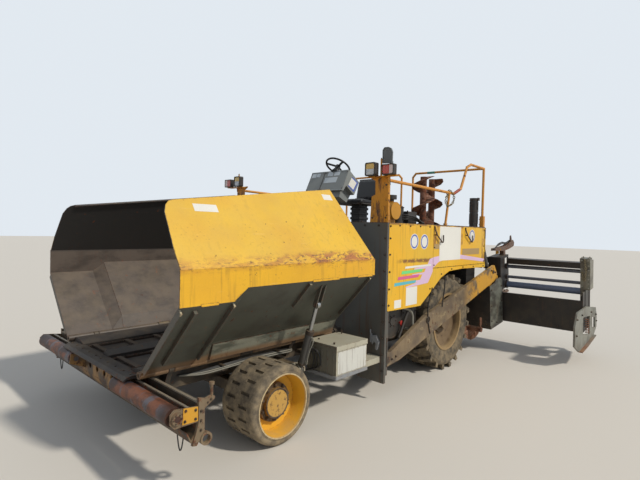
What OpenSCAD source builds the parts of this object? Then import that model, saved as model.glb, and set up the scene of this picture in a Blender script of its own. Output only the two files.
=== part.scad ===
// Wheeled asphalt paver with folding hopper wings, tow arms and an extending screed.
// Millimetres. +Z up, +Y to the rear, +X to the machine's left, ground at z = 0.
// Lengths along the machine are written from the front axle, and the frame() wrapper
// moves them so that the origin is the bottom centre of the whole machine.

/* [What to build] */
// Node to build on its own, or all

/* [Frame] */
// Distance from the front axle to the middle of the machine
axle_to_middle = 2036;
// Wheelbase
wheelbase = 2765;
// Thickness of the body plates
plate = 8;

/* [Front wheels] */
front_tyre_r = 309;
// Outside of the rim, under a tyre this thick
front_tread = 61;
front_tyre_out = 1192;
front_tyre_in = 800;
king_x = 760;
king_r = 20;
spindle_r = 30;

/* [Rear wheels] */
rear_tyre_r = 578;
rear_rim_r = 345;
rear_tyre_out = 1154;
rear_tyre_in = 778;
rear_axle_z = 578;
rear_stub_r = 60;

/* [Hopper wings] */
wing_hinge_x = 700;
wing_hinge_z = 628;
wing_front = -918;
wing_rear = 1077;
wing_out = 1237;
wing_pin_r = 16;
// Pin at the top of the wing's cylinder, and the room round it in the rod's eye
eye_pin_r = 12;
eye_room = 9;
wing_hinge_pin_r = 14;
// Foot of the yellow band, at the front and behind the step, and its top
band_low = 1175;
band_step = 1262;
band_top = 1405;
// Slope of the upper sheet, in degrees from level
upper_slope = 54.6;

/* [Push beam] */
roller_y = -948;
roller_z = 515;
roller_r = 58;
tie_down_r = 28;

/* [Body] */
bulkhead_y = 1286;
// Rear end of the body behind the rear axle, and the augers behind that
body_overhang = 855;
auger_setback = 840;
body_out = 1225;
deck_z = 1755;

/* [Screed] */
// The screed hangs raised by this angle about the tow pins
raise = 7;
tow_y = 1375;
tow_z = 395;
tow_pin_r = 25;
main_half = 1220;

/* [Hidden] */
$fn = 32;
slack = 0.05;
front_rim_r = front_tyre_r - front_tread;
body_rear = wheelbase + body_overhang;
auger_y = wheelbase + auger_setback;
auger_z = 362;
arm_out = main_half - 14;

module frame() { translate([0, -axle_to_middle, 0]) children(); }
module right() { mirror([1, 0, 0]) children(); }
module both() { children(); right() children(); }

// A box from its low corner to its high corner.
module bx(x0, x1, y0, y1, z0, z1) { translate([x0, y0, z0]) cube([x1 - x0, y1 - y0, z1 - z0]); }
// A cylinder along X, Y or Z.
module cx(x0, x1, y, z, r) { translate([x0, y, z]) rotate([0, 90, 0]) cylinder(r = r, h = x1 - x0); }
module cy(x, y0, y1, z, r) { translate([x, y0, z]) rotate([-90, 0, 0]) cylinder(r = r, h = y1 - y0); }
module cz(x, y, z0, z1, r) { translate([x, y, z0]) cylinder(r = r, h = z1 - z0); }
// A plate with its outline drawn as [y, z], from x0 to x1.
module side_plate(x0, x1, pts) {
    translate([x0, 0, 0]) rotate([90, 0, 90]) linear_extrude(height = x1 - x0) polygon(pts);
}
// A plate with its outline drawn as [x, z], from y0 to y1.
module cross_plate(y0, y1, pts) {
    translate([0, y1, 0]) rotate([90, 0, 0]) linear_extrude(height = y1 - y0) polygon(pts);
}
// A straight round bar between two points.
module rod(a, b, r) {
    d = b - a;
    len = norm(d);
    translate(a) rotate([0, acos(d[2] / len), atan2(d[1], d[0])]) cylinder(r = r, h = len);
}
// A bent round rail through a list of points, with a ball at each bend.
module rail(pts, r) {
    for (i = [0 : len(pts) - 2]) rod(pts[i], pts[i + 1], r);
    for (i = [1 : len(pts) - 2]) translate(pts[i]) sphere(r = r + 1);
}
// A revolved ring about the X axis, with its outline drawn as [radius, x].
module wheel_ring(y, z, pts) {
    translate([0, y, z]) rotate([0, 90, 0]) rotate_extrude() polygon(pts);
}
// A flat bar that stands h out from a sloping plate, from a to b as [x, z].
module rib(y0, y1, a, b, h) {
    out = [b[1] - a[1], a[0] - b[0]] / norm(b - a) * h;
    cross_plate(y0, y1, [a - out / h * 2, b - out / h * 2, b + out, a + out]);
}
// A box with its edges along Y rounded.
module round_box(x0, x1, y0, y1, z0, z1, r) {
    translate([0, y1, 0]) rotate([90, 0, 0]) linear_extrude(height = y1 - y0) {
        translate([x0 + r, z0 + r]) offset(r = r) square([x1 - x0 - 2 * r, z1 - z0 - 2 * r]);
    }
}
// A flat three-cornered sheet through the middles of its corners, t thick.
module sheet3(a, b, c, t) {
    hull() {
        for (q = [a, b, c]) {
            translate(q) cube(t, center = true);
        }
    }
}

// Chassis

// [y0, y1] of the hangers of the wings' hinge pins
wing_hangers = [[-700, -660], [-60, 60], [520, 560], [1120, 1160]];
module frame_side() {
    side_plate(560, 585, [[-740, 432], [1250, 432], [1900, 380], [2200, 300], [3300, 300], [3460, 420],
        [3460, 900], [1290.5, 900], [1290.5, 570], [-740, 570]]);
}
module chassis_frame() {
    frame() {
        both() frame_side();
        // [y0, y1, z0, z1] of the cross members
        members = [[-740, -700, 470, 560], [-100, 100, 470, 560], [1150, 1200, 470, 560],
            [2350, 2400, 320, 400], [3200, 3250, 320, 400]];
        for (m = members) bx(-560, 560, m[0], m[1], m[2], m[3]);
        // hangers that carry the hinge pins of the hopper wings
        both() {
            for (h = wing_hangers) {
                cross_plate(h[0], h[1], [[584, 470], [640, 470], [700, 598], [700, 602], [584, 602]]);
                cy(wing_hinge_x, h[0], h[1], wing_hinge_z, 29);
            }
            cy(wing_hinge_x, wing_front + 6, 1160, wing_hinge_z, wing_hinge_pin_r);
            // struts out to the side boxes and the wing cylinders
            bx(584, 834.7, 396, 464, 436, 470);
            bx(584, 834.7, 700, 960, 470, 500);
        }
        // towing lug at the rear of the frame, with an upright pin hole
        difference() {
            bx(-45, 45, 3249, 3345, 352, 380);
            cz(0, 3300, 340, 390, 16);
        }
        // front axle pivot block under the frame
        bx(-50, 50, -90, 90, 372, 471);
    }
}
module axles() {
    frame() {
        // front axle beam with a bored boss at each end
        difference() {
            union() {
                bx(-750, 750, -52, 52, 262, 356);
                both() cz(king_x, 0, 262, 356, 46);
                bx(-60, 60, -70, 70, 330, 371.7);
            }
            both() cz(king_x, 0, 250, 370, king_r + slack);
        }
        // rear wheel drives, bolted to the frame's side plates
        both() {
            cx(585.3, 720, wheelbase, rear_axle_z, 190);
            cx(719, 930, wheelbase, rear_axle_z, 150);
            cx(929, 1090, wheelbase, rear_axle_z, rear_stub_r);
        }
    }
}
module knuckle() {
    frame() {
        cz(king_x, 0, 228, 390, king_r);
        bx(king_x - 42, king_x + 92, -42, 42, 362, 390);
        bx(king_x - 42, king_x + 92, -42, 42, 228, 256);
        bx(king_x + 58, king_x + 92, -52, 52, 228, 390);
        cx(king_x + 91, 975, 0, front_tyre_r, 46);
        cx(974, 1096, 0, front_tyre_r, spindle_r);
        // steering arm, reaching back to the tie rod
        bx(king_x - 28, king_x + 22, 41, 200, 364, 384);
        cz(king_x, 200, 364, 384, 25);
        cz(king_x, 200, 383, 416, 11);
    }
}
module tie_rod() {
    frame() {
        cx(-(king_x - 30), king_x - 30, 200, 402, 13);
        both() difference() {
            bx(king_x - 34, king_x + 20, 170, 230, 391, 413);
            bx(king_x - 13, king_x + 13, 178, 222, 380, 420);
        }
    }
}
module tyre_front() {
    frame() wheel_ring(0, front_tyre_r, [[-front_rim_r, front_tyre_in], [9 - front_tyre_r, front_tyre_in + 4],
        [-front_tyre_r, front_tyre_in + 34], [-front_tyre_r, front_tyre_out - 34],
        [9 - front_tyre_r, front_tyre_out - 4], [-front_rim_r, front_tyre_out]]);
}
module rim_front() {
    z = front_tyre_r;
    r = front_rim_r;
    frame() difference() {
        union() {
            wheel_ring(0, z, [[23 - r, 812], [-r, 800], [-r, 1196], [10 - r, 1196], [23 - r, 1120],
                [30 - r, 1060], [-60, 1044], [-60, 1024], [23 - r, 1036]]);
            // bolted hub flange and its cap
            cx(990, 1085, 0, z, 150);
            cx(1084, 1120, 0, z, 117);
        }
        cx(980, 1100, 0, z, spindle_r + slack);
    }
}
// Rear tyre: a plain carcass, and lugs in two slanted rows.
module tyre_rear() {
    y = wheelbase;
    z = rear_axle_z;
    r0 = rear_tyre_r - 34;
    lugs = 20;
    frame() {
        wheel_ring(y, z, [[-rear_rim_r + 8.7, 800], [-400, rear_tyre_in + 6], [-490, rear_tyre_in], [-r0 + 20, rear_tyre_in + 14],
            [-r0, rear_tyre_in + 60], [-r0, rear_tyre_out - 60], [-r0 + 20, rear_tyre_out - 14],
            [-490, rear_tyre_out], [-400, rear_tyre_out - 6], [-rear_rim_r - 7, rear_tyre_out - 21],
            [-rear_rim_r + 8.7, rear_tyre_out - 21]]);
        intersection() {
            cx(rear_tyre_in, rear_tyre_out, y, z, rear_tyre_r);
            for (i = [0 : lugs - 1], side = [0, 1]) {
                translate([966, y, z]) rotate([(i + side / 2) * 360 / lugs, 0, 0]) translate([0, 0, r0 - 30]) {
                    mirror([side, 0, 0]) linear_extrude(height = 80) {
                        polygon([[-10, -8], [186, 80], [186, 128], [-10, 40]]);
                    }
                }
            }
        }
    }
}
module rim_rear() {
    y = wheelbase;
    z = rear_axle_z;
    frame() difference() {
        union() {
            wheel_ring(y, z, [[-rear_rim_r + 27, 800], [-rear_rim_r + 9, 790], [-rear_rim_r + 9, 1134],
                [-rear_rim_r - 5, 1134], [-rear_rim_r - 5, 1142], [-rear_rim_r + 23, 1142],
                [-rear_rim_r + 35, 1060], [-140, 1020], [-140, 1000], [-rear_rim_r + 27, 1036]]);
            cx(996, 1050, y, z, 150);
            cx(1049, 1110, y, z, 96);
        }
        cx(990, 1100, y, z, rear_stub_r + slack);
    }
}

// Hopper

module hopper_floor() {
    frame() {
        // floor under the slats, the two side ledges and the guard over the centre chain
        bx(-559, 559, -870, 3420, 571, 583);
        both() cross_plate(-870, 1285, [[470, 582], [559, 603], [664, 603], [664, 640], [559, 640], [470, 612]]);
        cross_plate(-860, 3380, [[-50, 582], [50, 582], [50, 620], [0, 660], [-50, 620]]);
        // tunnel to the rear
        both() bx(470, 482, 1286.5, 3400, 582, 900);
        bx(-482, 482, 1286.5, 3400, 899, 909);
        // rounded apron over the push beam
        side_plate(-620, 620, [[-985, 579], [-985, 588], [-960, 604], [-920, 612], [-850, 606], [-850, 576],
            [-890, 584], [-920, 590], [-960, 586]]);
    }
}
module conveyor() {
    frame() both() {
        // two flat chains and the slats between them, top run
        for (x = [80, 430]) bx(x - 14, x + 14, -850, 3390, 583.3, 597);
        for (y = [-810 : 280 : 3360]) bx(70, 440, y, y + 40, 590, 606);
        // front and rear turning drums, and the return run below
        cx(66, 444, 3300, 500, 58);
        cx(66, 444, -640, 508, 50);
        for (x = [80, 430]) bx(x - 14, x + 14, -640, 3300, 455.7, 469.7);
        for (y = [-560 : 280 : 3200]) bx(70, 440, y, y + 40, 447.7, 461.7);
    }
}
module push_beam() {
    frame() {
        // open channel: holed front plate, sloping foot and rear plate
        difference() {
            bx(-1180, 1180, -872, -860, 400, 552);
            for (x = [-300 : 150 : 300]) cy(x, -880, -850, 470, 26);
        }
        side_plate(-1270, 1270, [[-872, 401], [-872, 388], [-845, 330], [-775, 386], [-775, 400], [-800, 400],
            [-845, 350]]);
        bx(-1270, 1270, -800, -786, 386, 570);
        both() bx(500, 550, -787, -740.3, 440, 560);
        both() difference() {
            union() {
                // end strip with its foot, the lug above and the tie-down ring below
                side_plate(1262, 1283, [[-802, 606], [-757, 592], [-757, 383], [-812, 308], [-842, 314],
                    [-802, 443]]);
                side_plate(1266, 1279, [[-758, 528], [-686, 570], [-681, 588], [-709, 602], [-758, 590]]);
                cx(1260, 1290, -746, 336, 42);
                // bracket out to the roller, with its bearing
                side_plate(1264, 1276, [[-990, 486], [-960, 455], [-800, 455], [-800, 552], [-960, 572],
                    [-990, 545]]);
                cx(1264, 1290, roller_y, roller_z, 36);
            }
            cx(1255, 1300, roller_y, roller_z, 20 + slack);
            cx(1255, 1300, -746, 336, tie_down_r);
        }
        // upright pin on the lug
        both() {
            cz(1272, -704, 580, 668, 10);
            cz(1272, -704, 666, 684, 17);
        }
        // inner bearings of the rollers
        both() difference() {
            side_plate(400, 416, [[-1000, 480], [-860, 420], [-860, 552], [-990, 560]]);
            cx(390, 430, roller_y, roller_z, 20 + slack);
        }
    }
}
module roller() {
    frame() {
        cx(424, 1240, roller_y, roller_z, roller_r);
        cx(402, 1288, roller_y, roller_z, 20);
    }
}

// Corners of the wing's plates: x and z at the front and the rear edge.
module wing() {
    h = wing_hinge_x;
    k = wing_hinge_z;
    f = wing_front;
    b = wing_rear;
    o = wing_out;
    t = plate;
    eye_x = wing_eye[0];
    frame() {
        // hinge tube in four lengths, between the hangers
        for (y = [[f, -705], [-655, -65], [65, 515], [565, b]]) difference() {
            cy(h, y[0], y[1], k, 28);
            cy(h, y[0] - 1, y[1] + 1, k, wing_hinge_pin_r + slack);
        }
        // the plates are notched at the hangers
        difference() {
            union() {
                // front part of the lower plate, then the part behind the step
                cross_plate(f, -508, [[h + 16, k + 10], [h + 24, k + 2], [o, band_low - 4], [o, band_low + 6],
                    [o - t, band_low + 6]]);
                cross_plate(-412, b, [[h + 16, k + 10], [h + 24, k + 2], [776, 764], [o, band_step - 4],
                    [o, band_step + 6], [o - t, band_step + 6], [768, 772]]);
                sheet3([h + 24, -520, k + 6], [o - 5, -520, band_low], [o - 5, -400, band_step], 8);
                sheet3([h + 24, -520, k + 6], [o - 5, -400, band_step], [774, -400, 768], 8);
                sheet3([h + 24, -520, k + 6], [774, -400, 768], [h + 24, -400, k + 6], 8);
                // strip at the foot, behind the step
                cross_plate(-380, 960, [[h + 26, k + 14], [h + 52, k + 14], [795, 772], [776, 769]]);
            }
            for (q = wing_hangers) cy(h, q[0] - 6, q[1] + 6, k, 35);
        }
        // upright band, stepped along its foot
        side_plate(o - t, o, [[f, band_low], [-521, band_low], [-399, band_step], [b, band_step],
            [b, band_top], [f, band_top]]);
        // upper sheet, a flat plate with a rounded front corner, a swept rear edge and a curled lip
        translate([o, 0, band_top]) rotate([0, upper_slope - 90, 0]) {
            side_plate(-t - 1, -1, [[f + 4, -3], [b - 4, -3], [941, 808], [-800, 545], [-838, 530], [-866, 500],
                [-890, 440], [-912, 160]]);
            side_plate(-24, -2, [[-806, 531], [938, 794], [941, 808], [-800, 545]]);
        }
        // flat bars on the lower plate: at the front edge, near it, along the step, and two at the rear
        rib(f, f + 12, [h + 60, k + 41], [o - 10, band_low - 16], 34);
        rib(-806, -782, [h + 106, k + 90], [o - 30, band_low - 37], 26);
        rib(-524, -510, [h + 90, k + 73], [o - 8, band_low - 14], 30);
        rib(214, 236, [1030, 1036], [o - 12, band_step - 17], 22);
        rib(1000, 1016, [860, 854], [o - 12, band_step - 17], 26);
        // rubbing bars along the foot of the band
        for (q = [[-770, -640, band_low - 12], [247, 566, band_step - 12], [825, 1038, band_step - 12]]) {
            bx(o - 10, o + 4, q[0], q[1], q[2], q[2] + 16);
        }
        // ears and pin for the cylinder's rod
        for (y = [398, 450]) {
            cross_plate(y, y + 12, [[eye_x - 16, 1012], [eye_x + 18, 1012], [eye_x + 24, 1034],
                [eye_x + 82, 1204], [eye_x + 70, 1204], [eye_x + 40, 1168], [eye_x - 16, 1046]]);
        }
        cy(eye_x, 392, 468, 1030, eye_pin_r);
    }
}
// The wing's cylinder: base pin on the frame, eye at the wing's ears.
wing_base = [930, 430, 440];
wing_eye = [wing_out - 125, 430, 1030];
wing_dir = (wing_eye - wing_base) / norm(wing_eye - wing_base);
module wing_barrel() {
    frame() difference() {
        union() {
            rod(wing_base + wing_dir * 50, wing_base + wing_dir * 372, 34);
            rod(wing_base, wing_base + wing_dir * 52, 15);
            cy(wing_base[0], 414, 446, wing_base[2], 28);
        }
        cy(wing_base[0], 400, 460, wing_base[2], wing_pin_r + slack);
        rod(wing_base + wing_dir * 75, wing_base + wing_dir * 380, 18 + slack);
    }
}
module wing_rod() {
    frame() difference() {
        union() {
            rod(wing_base + wing_dir * 290, wing_eye - wing_dir * 20, 18);
            cy(wing_eye[0], 414, 446, wing_eye[2], eye_pin_r + eye_room + 10);
        }
        cy(wing_eye[0], 400, 460, wing_eye[2], eye_pin_r + eye_room);
    }
}

// Side boxes

module side_boxes() {
    frame() both() {
        difference() {
            bx(835, 1190, 612, 1045, 365, 632);
            bx(845, 1180, 622, 1035, 380, 640);
        }
        // ears of the lid's hinge
        for (y = [640, 1000]) difference() {
            cross_plate(y, y + 16, [[818, 600], [836, 600], [836, 648], [830, 654], [818, 654]]);
            cy(827, y - 1, y + 17, 645, 5 + slack);
        }
        // bracket for the foot of the wing's cylinder
        for (y = [398, 450]) {
            cross_plate(y, y + 12, [[835, 436], [835, 470], [930, 475], [960, 455], [960, 425], [930, 405]]);
        }
        cy(930, 392, 468, 440, wing_pin_r);
        // rail that ties the bracket to the box, and the bracket to the bulkhead
        bx(835, 850, 398, 613, 436, 470);
        bx(1040, 1180, 1044, 1285.7, 380, 440);
    }
}
module lid() {
    frame() {
        bx(839, 1197, 605, 1052, 640, 655);
        bx(1191, 1197, 605, 1052, 610, 641);
        bx(839, 1192, 612, 1045, 632.3, 641);
        bx(827, 840, 662, 994, 640, 654);
        cy(827, 660, 996, 645, 9);
        cy(827, 634, 1022, 645, 5);
    }
}

// Body

module bulkhead() {
    frame() {
        difference() {
            bx(-1224, 1224, bulkhead_y, bulkhead_y + 10, 176, 1752);
            bx(-483, 483, 1270, 1310, 560, 910);
            bx(-559.3, 559.3, 1270, 1310, 559, 583.3);
            bx(-900, 900, 1270, 1310, 100, 560);
            both() bx(559, 586, 1270, 1310, 540, 900);
        }
        both() {
            bx(1214, 1224, bulkhead_y, 1316, 176, 1752);
            // slotted rail beside the tow arm
            difference() {
                bx(1214, 1224, 1315, 1344, 250, 880);
                bx(1210, 1230, 1322, 1334, 330, 620);
            }
            // guide for the tow pin
            bx(1120, 1160, 1296, 1420, 250, 300);
            bx(1120, 1160, 1296, 1420, 540, 590);
            difference() {
                bx(1120, 1150, 1296, 1430, 250, 590);
                cx(1100, 1170, tow_y, tow_z, tow_pin_r + slack);
            }
            bx(900, 1120, 1296, 1330, 500, 560);
        }
    }
}
module side_panels() {
    frame() both() {
        // front part, with the wheel arch below
        side_plate(1217, body_out, [[1317, 883], [1945, 871], [2100, 964], [2193, 1022], [2193, 1751],
            [1317, 1753]]);
        // strip over the arch and behind it, below the doors
        side_plate(1217, body_out, [[2192, 1021], [2395, 1148], [2595, 1214], [2946, 1227], [3620, 1214],
            [3620, 1264], [2192, 1264]]);
        // inner frame of the door opening
        bx(1195, 1217, 2160, 2190, 1100, 1745);
        bx(1195, 1225, 3608, 3620, 1262, 1746.7);
        bx(1150, 1217, 1330, 3600, 1722, 1746.7);
        bx(1195, 1217, 3599, 3609, 1722, 1746.7);
    }
}
module door() {
    frame() {
        bx(1217, 1225, 2197, 3590, 1269, 1745);
        // hinge barrel at the rear edge
        cz(1226, 3593, 1290, 1420, 9);
        cz(1226, 3593, 1600, 1720, 9);
        // bent bar handles: y of each
        for (y = [2290, 3070]) {
            rail([[1225, y - 60, 1640], [1250, y - 60, 1640], [1250, y + 60, 1560], [1225, y + 60, 1560]], 7);
        }
    }
}
module deck() {
    frame() {
        bx(-1214, 1214, 1297, 3616, deck_z - 8, deck_z);
        // rear wall, with the lift cylinders' brackets
        bx(-1194, 1194, 3604, 3614, 1200, 1748);
        both() for (x = [1080, 1140]) difference() {
            side_plate(x, x + 14, [[3613, 1700], [3720, 1680], [3735, 1610], [3613, 1570]]);
            cx(x - 2, x + 16, 3690, 1640, 14);
        }
        both() cx(1070, 1160, 3690, 1640, 16);
        // side members that tie the deck to the frame
        both() bx(486, 585, 1300, 3600, 900.3, 960);
        both() for (y = [1340, 3520]) bx(500, 560, y, y + 60, 959, 1748);
    }
}
module engine() {
    frame() {
        bx(-380, 380, 1700, 2900, 965, 1600);
        bx(-1100, -600, 1450, 2300, 1250, 1700);
        bx(600, 1100, 1450, 2200, 1250, 1700);
        bx(-600, 600, 1800, 1900, 1300, 1400);
        both() {
            // round tank and square tank on the frame, and the fuel tank under the deck's rear
            cx(585.3, 1100, 1600, 730, 180);
            bx(585.3, 1060, 1850, 2140, 610, 950);
            bx(600, 1100, 3330, 3590, 1000, 1746.7);
        }
        // on the deck: exhaust, pump and its cover
        cz(1080, 3545, deck_z + 0.3, 2140, 55);
        cz(1010, 1790, deck_z + 0.3, 1925, 60);
        bx(920, 1080, 1880, 2060, deck_z + 0.3, 1890);
        for (x = [-300, 220]) for (y = [1720, 2820]) bx(x, x + 80, y, y + 60, 909.3, 966);
    }
}
panel_at = [285, 1572, 2341];
panel_up = [0, 0.556, 0.831];
module console() {
    frame() {
        // leg, housing and the tilted box that faces the seat
        bx(150, 330, 1470, 1590, deck_z + 0.3, 2060);
        side_plate(60, 440, [[1470, 2040], [1600, 1985], [1668, 2080], [1500, 2160]]);
        side_plate(-70, 500, [[1442, 2111], [1466, 2104], [1516, 2166], [1660, 2072], [1746, 2225], [1559, 2350]]);
        rod(panel_at - panel_up * 30, panel_at + panel_up * 40, 24);
    }
}
module steering_wheel() {
    frame() translate(panel_at + panel_up * 78) rotate([-33.8, 0, 0]) {
        rotate_extrude() translate([145, 0]) circle(r = 11);
        for (a = [90, 210, 330]) rotate([0, 0, a]) bx(0, 139, -12, 12, -6, 6);
        translate([0, 0, -37.7]) cylinder(r = 28, h = 50);
    }
}
module seat() {
    frame() {
        bx(90, 370, 1990, 2230, deck_z + 0.3, 1775);
        bx(190, 270, 2050, 2170, 1774, 1985);
        bx(0, 460, 1870, 2300, 1984, 2055);
        side_plate(10, 450, [[2250, 2040], [2320, 2040], [2380, 2345], [2320, 2350]]);
    }
}
module lamp_posts() {
    frame() {
        both() {
            // notched sheet on the deck's front edge, its side flange and the shelf on top
            cross_plate(1298, 1306, [[1002, deck_z + 0.3], [1217, deck_z + 0.3], [1213, 2204], [997, 2212],
                [998, 2196], [1055, 2166], [1059, 2031], [1015, 2014]]);
            side_plate(1205, 1213, [[1305, deck_z + 0.3], [1348, deck_z + 0.3], [1330, 1900], [1330, 2200],
                [1305, 2200]]);
            bx(1012, 1338, 1226, 1299, 2195, 2203);
            bx(1205, 1213, 1290, 1306, 2150, 2196);
            cz(1143, 1270, 2202, 2372, 9);
        }
        // the mirror's bar, on the left only
        cz(1247, 1282, 2202, 2345, 8);
    }
}
module lamps() {
    frame() both() {
        // headlamp with a sunk face
        difference() {
            round_box(1010, 1132, 1180, 1240, 2203.3, 2334, 16);
            round_box(1019, 1123, 1170, 1188, 2212, 2325, 12);
        }
        // tail and direction lamp
        difference() {
            round_box(1206, 1342, 1184, 1236, 2203.3, 2304, 8);
            round_box(1213, 1335, 1170, 1190, 2210, 2297, 5);
        }
    }
}
// Arched mirror with a raised rim round its face, and its two clamps
module mirror_glass() {
    frame() {
        difference() {
            cross_plate(1256, 1274, [[1163, 2326], [1271, 2321], [1273, 2428], [1257, 2464], [1228, 2478],
                [1182, 2479], [1161, 2454]]);
            cross_plate(1250, 1260, [[1170, 2333], [1264, 2329], [1266, 2426], [1252, 2458], [1226, 2470],
                [1185, 2471], [1168, 2451]]);
        }
        bx(1233, 1261, 1273, 1273.7, 2322, 2360);
        difference() {
            bx(1231, 1263, 1273.5, 1296, 2322, 2342);
            cz(1247, 1282, 2310, 2360, 8 + slack);
        }
    }
}
module handrails() {
    x = 1188;
    rear = body_rear - 45;
    frame() both() {
        // side rail, from the lamp post up to the rear hoop
        rail([[x, 1306.4, 2170], [x, 2725, 2142], [x, 2905, 2215], [x, 3062, 2500], [x, 3175, 2546],
            [x, rear, 2540], [x, rear, deck_z + 6]], 16);
        // rear hoop across to the middle
        rail([[x, rear, 2540], [150, rear, 2545], [100, rear, 2490], [100, rear, deck_z + 6]], 15);
        rod([x, 2612, 2146], [x, 2530, deck_z + 6], 14);
        // feet, and the socket of the rear post
        for (q = [[x, 2530, 20], [100, rear, 24]]) cz(q[0], q[1], deck_z + 0.3, deck_z + 12, q[2]);
        bx(x - 26, 1216, rear - 26, rear + 22, deck_z + 0.3, 1900);
    }
}
module air_cleaner() {
    frame() {
        cx(880, 1130, 1570, 1882, 90);
        cz(1060, 1570, 1960, 2002, 34);
        cz(1060, 1570, 2001, 2044, 62);
        for (x = [920, 1050]) bx(x, x + 30, 1510, 1630, deck_z + 0.3, 1830);
    }
}
// Two spare auger lengths that stand on the deck.
module screw(r0, r1, len, turns, steps, hand) {
    cylinder(r = r0, h = len);
    q = r0 - 6;
    w = 7;
    linear_extrude(height = len, twist = -hand * 360 * turns, slices = steps * turns, segments = 4) {
        polygon([[q * cos(w), -q * sin(w)], [r1 * cos(w), -r1 * sin(w)], [r1 * cos(w), r1 * sin(w)],
            [q * cos(w), q * sin(w)]]);
    }
}
module stored_augers() {
    frame() {
        translate([1000, 2330, deck_z + 0.3]) screw(38, 135, 560, 2, 10, 1);
        translate([960, 2600, deck_z + 0.3]) screw(38, 135, 560, 2, 10, -1);
    }
}

// Augers

module auger_frame() {
    frame() {
        // chain case in the middle and the arms that hold it
        bx(-60, 60, auger_y - 90, auger_y + 90, 270, 900);
        bx(-585, 585, 3460.3, 3500, 850, 900);
        bx(-60, 60, 3499, auger_y - 89, 850, 900);
        both() difference() {
            side_plate(560, 576, [[3460.3, 900], [3520, 900], [3650, 420], [3650, 310], [3555, 310],
                [3460.3, 640]]);
            cx(550, 590, auger_y, auger_z, 36 + slack);
        }
    }
}
module auger(hand) {
    frame() {
        translate([66, auger_y, auger_z]) rotate([0, 90, 0]) {
            cylinder(r = 36, h = 1150);
            translate([0, 0, 20]) screw(36, 165, 460, 2, 12, hand);
            translate([0, 0, 530]) screw(36, 165, 600, 2.5, 12, hand);
        }
    }
}

// Screed, drawn level on the ground and then raised about the tow pins

module raised() {
    frame() translate([0, tow_y, tow_z]) rotate([raise, 0, 0]) translate([0, -tow_y, -tow_z]) children();
}
module tow_arms() {
    frame() both() difference() {
        side_plate(arm_out - 40, arm_out, [[1318, 318], [1600, 350], [1800, 403], [4006, 993], [4115, 1096],
            [4010, 1221], [2100, 739], [1430, 462], [1318, 474]]);
        cx(1150, 1230, tow_y, tow_z, tow_pin_r + slack);
        cx(1150, 1230, 3960, 1130, 15 + slack);
    }
    // the pins that the arm turns on and that hold the lift cylinder's rod
    frame() both() {
        cx(1121, arm_out + 10, tow_y, tow_z, tow_pin_r);
        cx(1096, arm_out + 6, 3960, 1130, 15);
    }
    // rear plates that carry the screed
    raised() both() side_plate(arm_out - 58, arm_out - 40, [[3900, 60.3], [4300, 60.3], [4300, 700], [4120, 800],
        [3960, 790], [3900, 640]]);
}
module screed_main() {
    inner = arm_out - 58.3;
    raised() {
        // moldboard, sole, box and top beam
        bx(-main_half, main_half, 3880, 3896, 70, 630);
        bx(-inner, inner, 3880, 3896, 629, 690);
        bx(-main_half, main_half, 3895, 4330, 5, 60);
        bx(-inner, inner, 3895, 4100, 59, 180);
        bx(-inner, inner, 3895, 4100, 560, 690);
        // end plates, cut away under the tow arms
        both() side_plate(main_half - 12, main_half, [[3880, 62], [3960, 8], [4330, 8], [4330, 640],
            [4260, 690], [4112, 690], [4062, 648], [3880, 630]]);
        // carriers for the extension's guides: two bored plates, a web and a cover
        both() {
            for (x = [1020, 1184]) difference() {
                bx(x, x + 16, 4329, 4640, 480, 970);
                for (q = [[804, 26], [645, 22], [530, 45]]) cx(x - 5, x + 21, 4560, q[0], q[1] + slack);
                bx(x - 5, x + 21, 4494, 4606, 844, 936);
            }
            bx(1035, 1185, 4329, 4345, 480, 970);
            bx(1035, 1185, 4344, 4640, 954, 970);
            // collars on the outer plate
            for (q = [[804, 26], [645, 22], [530, 45]]) difference() {
                cx(1199, 1216, 4560, q[0], q[1] + 16);
                cx(1195, 1220, 4560, q[0], q[1] + slack);
            }
        }
        bx(-1021, 1021, 4329, 4380, 880, 960);
        bx(-400, 400, 4099, 4330, 600, 680);
        both() bx(300, 400, 4329, 4380, 600, 881);
    }
}
module screed_deck() {
    raised() {
        // walkway behind the screed, hung from the carriers
        bx(-1060, 1060, 4800, 5020, 300, 330);
        both() bx(1020, 1060, 4640.3, 4700, 900, 960);
        both() bx(1020, 1060, 4660, 4700, 320, 901);
        both() bx(1020, 1060, 4690, 4810, 300, 340);
        // control linkage: a post, two arms that lean back and the hooked handle at their end
        both() {
            bx(1096, 1160, 4560, 4630, 970.3, 1060);
            for (x = [1096, 1148]) side_plate(x, x + 12, [[4235, 1078], [4560, 1032], [4760, 1030],
                [4975, 1050], [5000, 1100], [4955, 1150], [4700, 1100], [4560, 1096], [4250, 1110]]);
            side_plate(1119, 1137, [[4925, 1060], [4985, 1048], [5004, 1104], [4962, 1152], [4940, 1222],
                [4918, 1208], [4912, 1140]]);
            cx(1107, 1149, 4956, 1096, 18);
            for (y = [4250, 4480]) cx(1107, 1149, y, 1088, 9);
        }
    }
}
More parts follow.
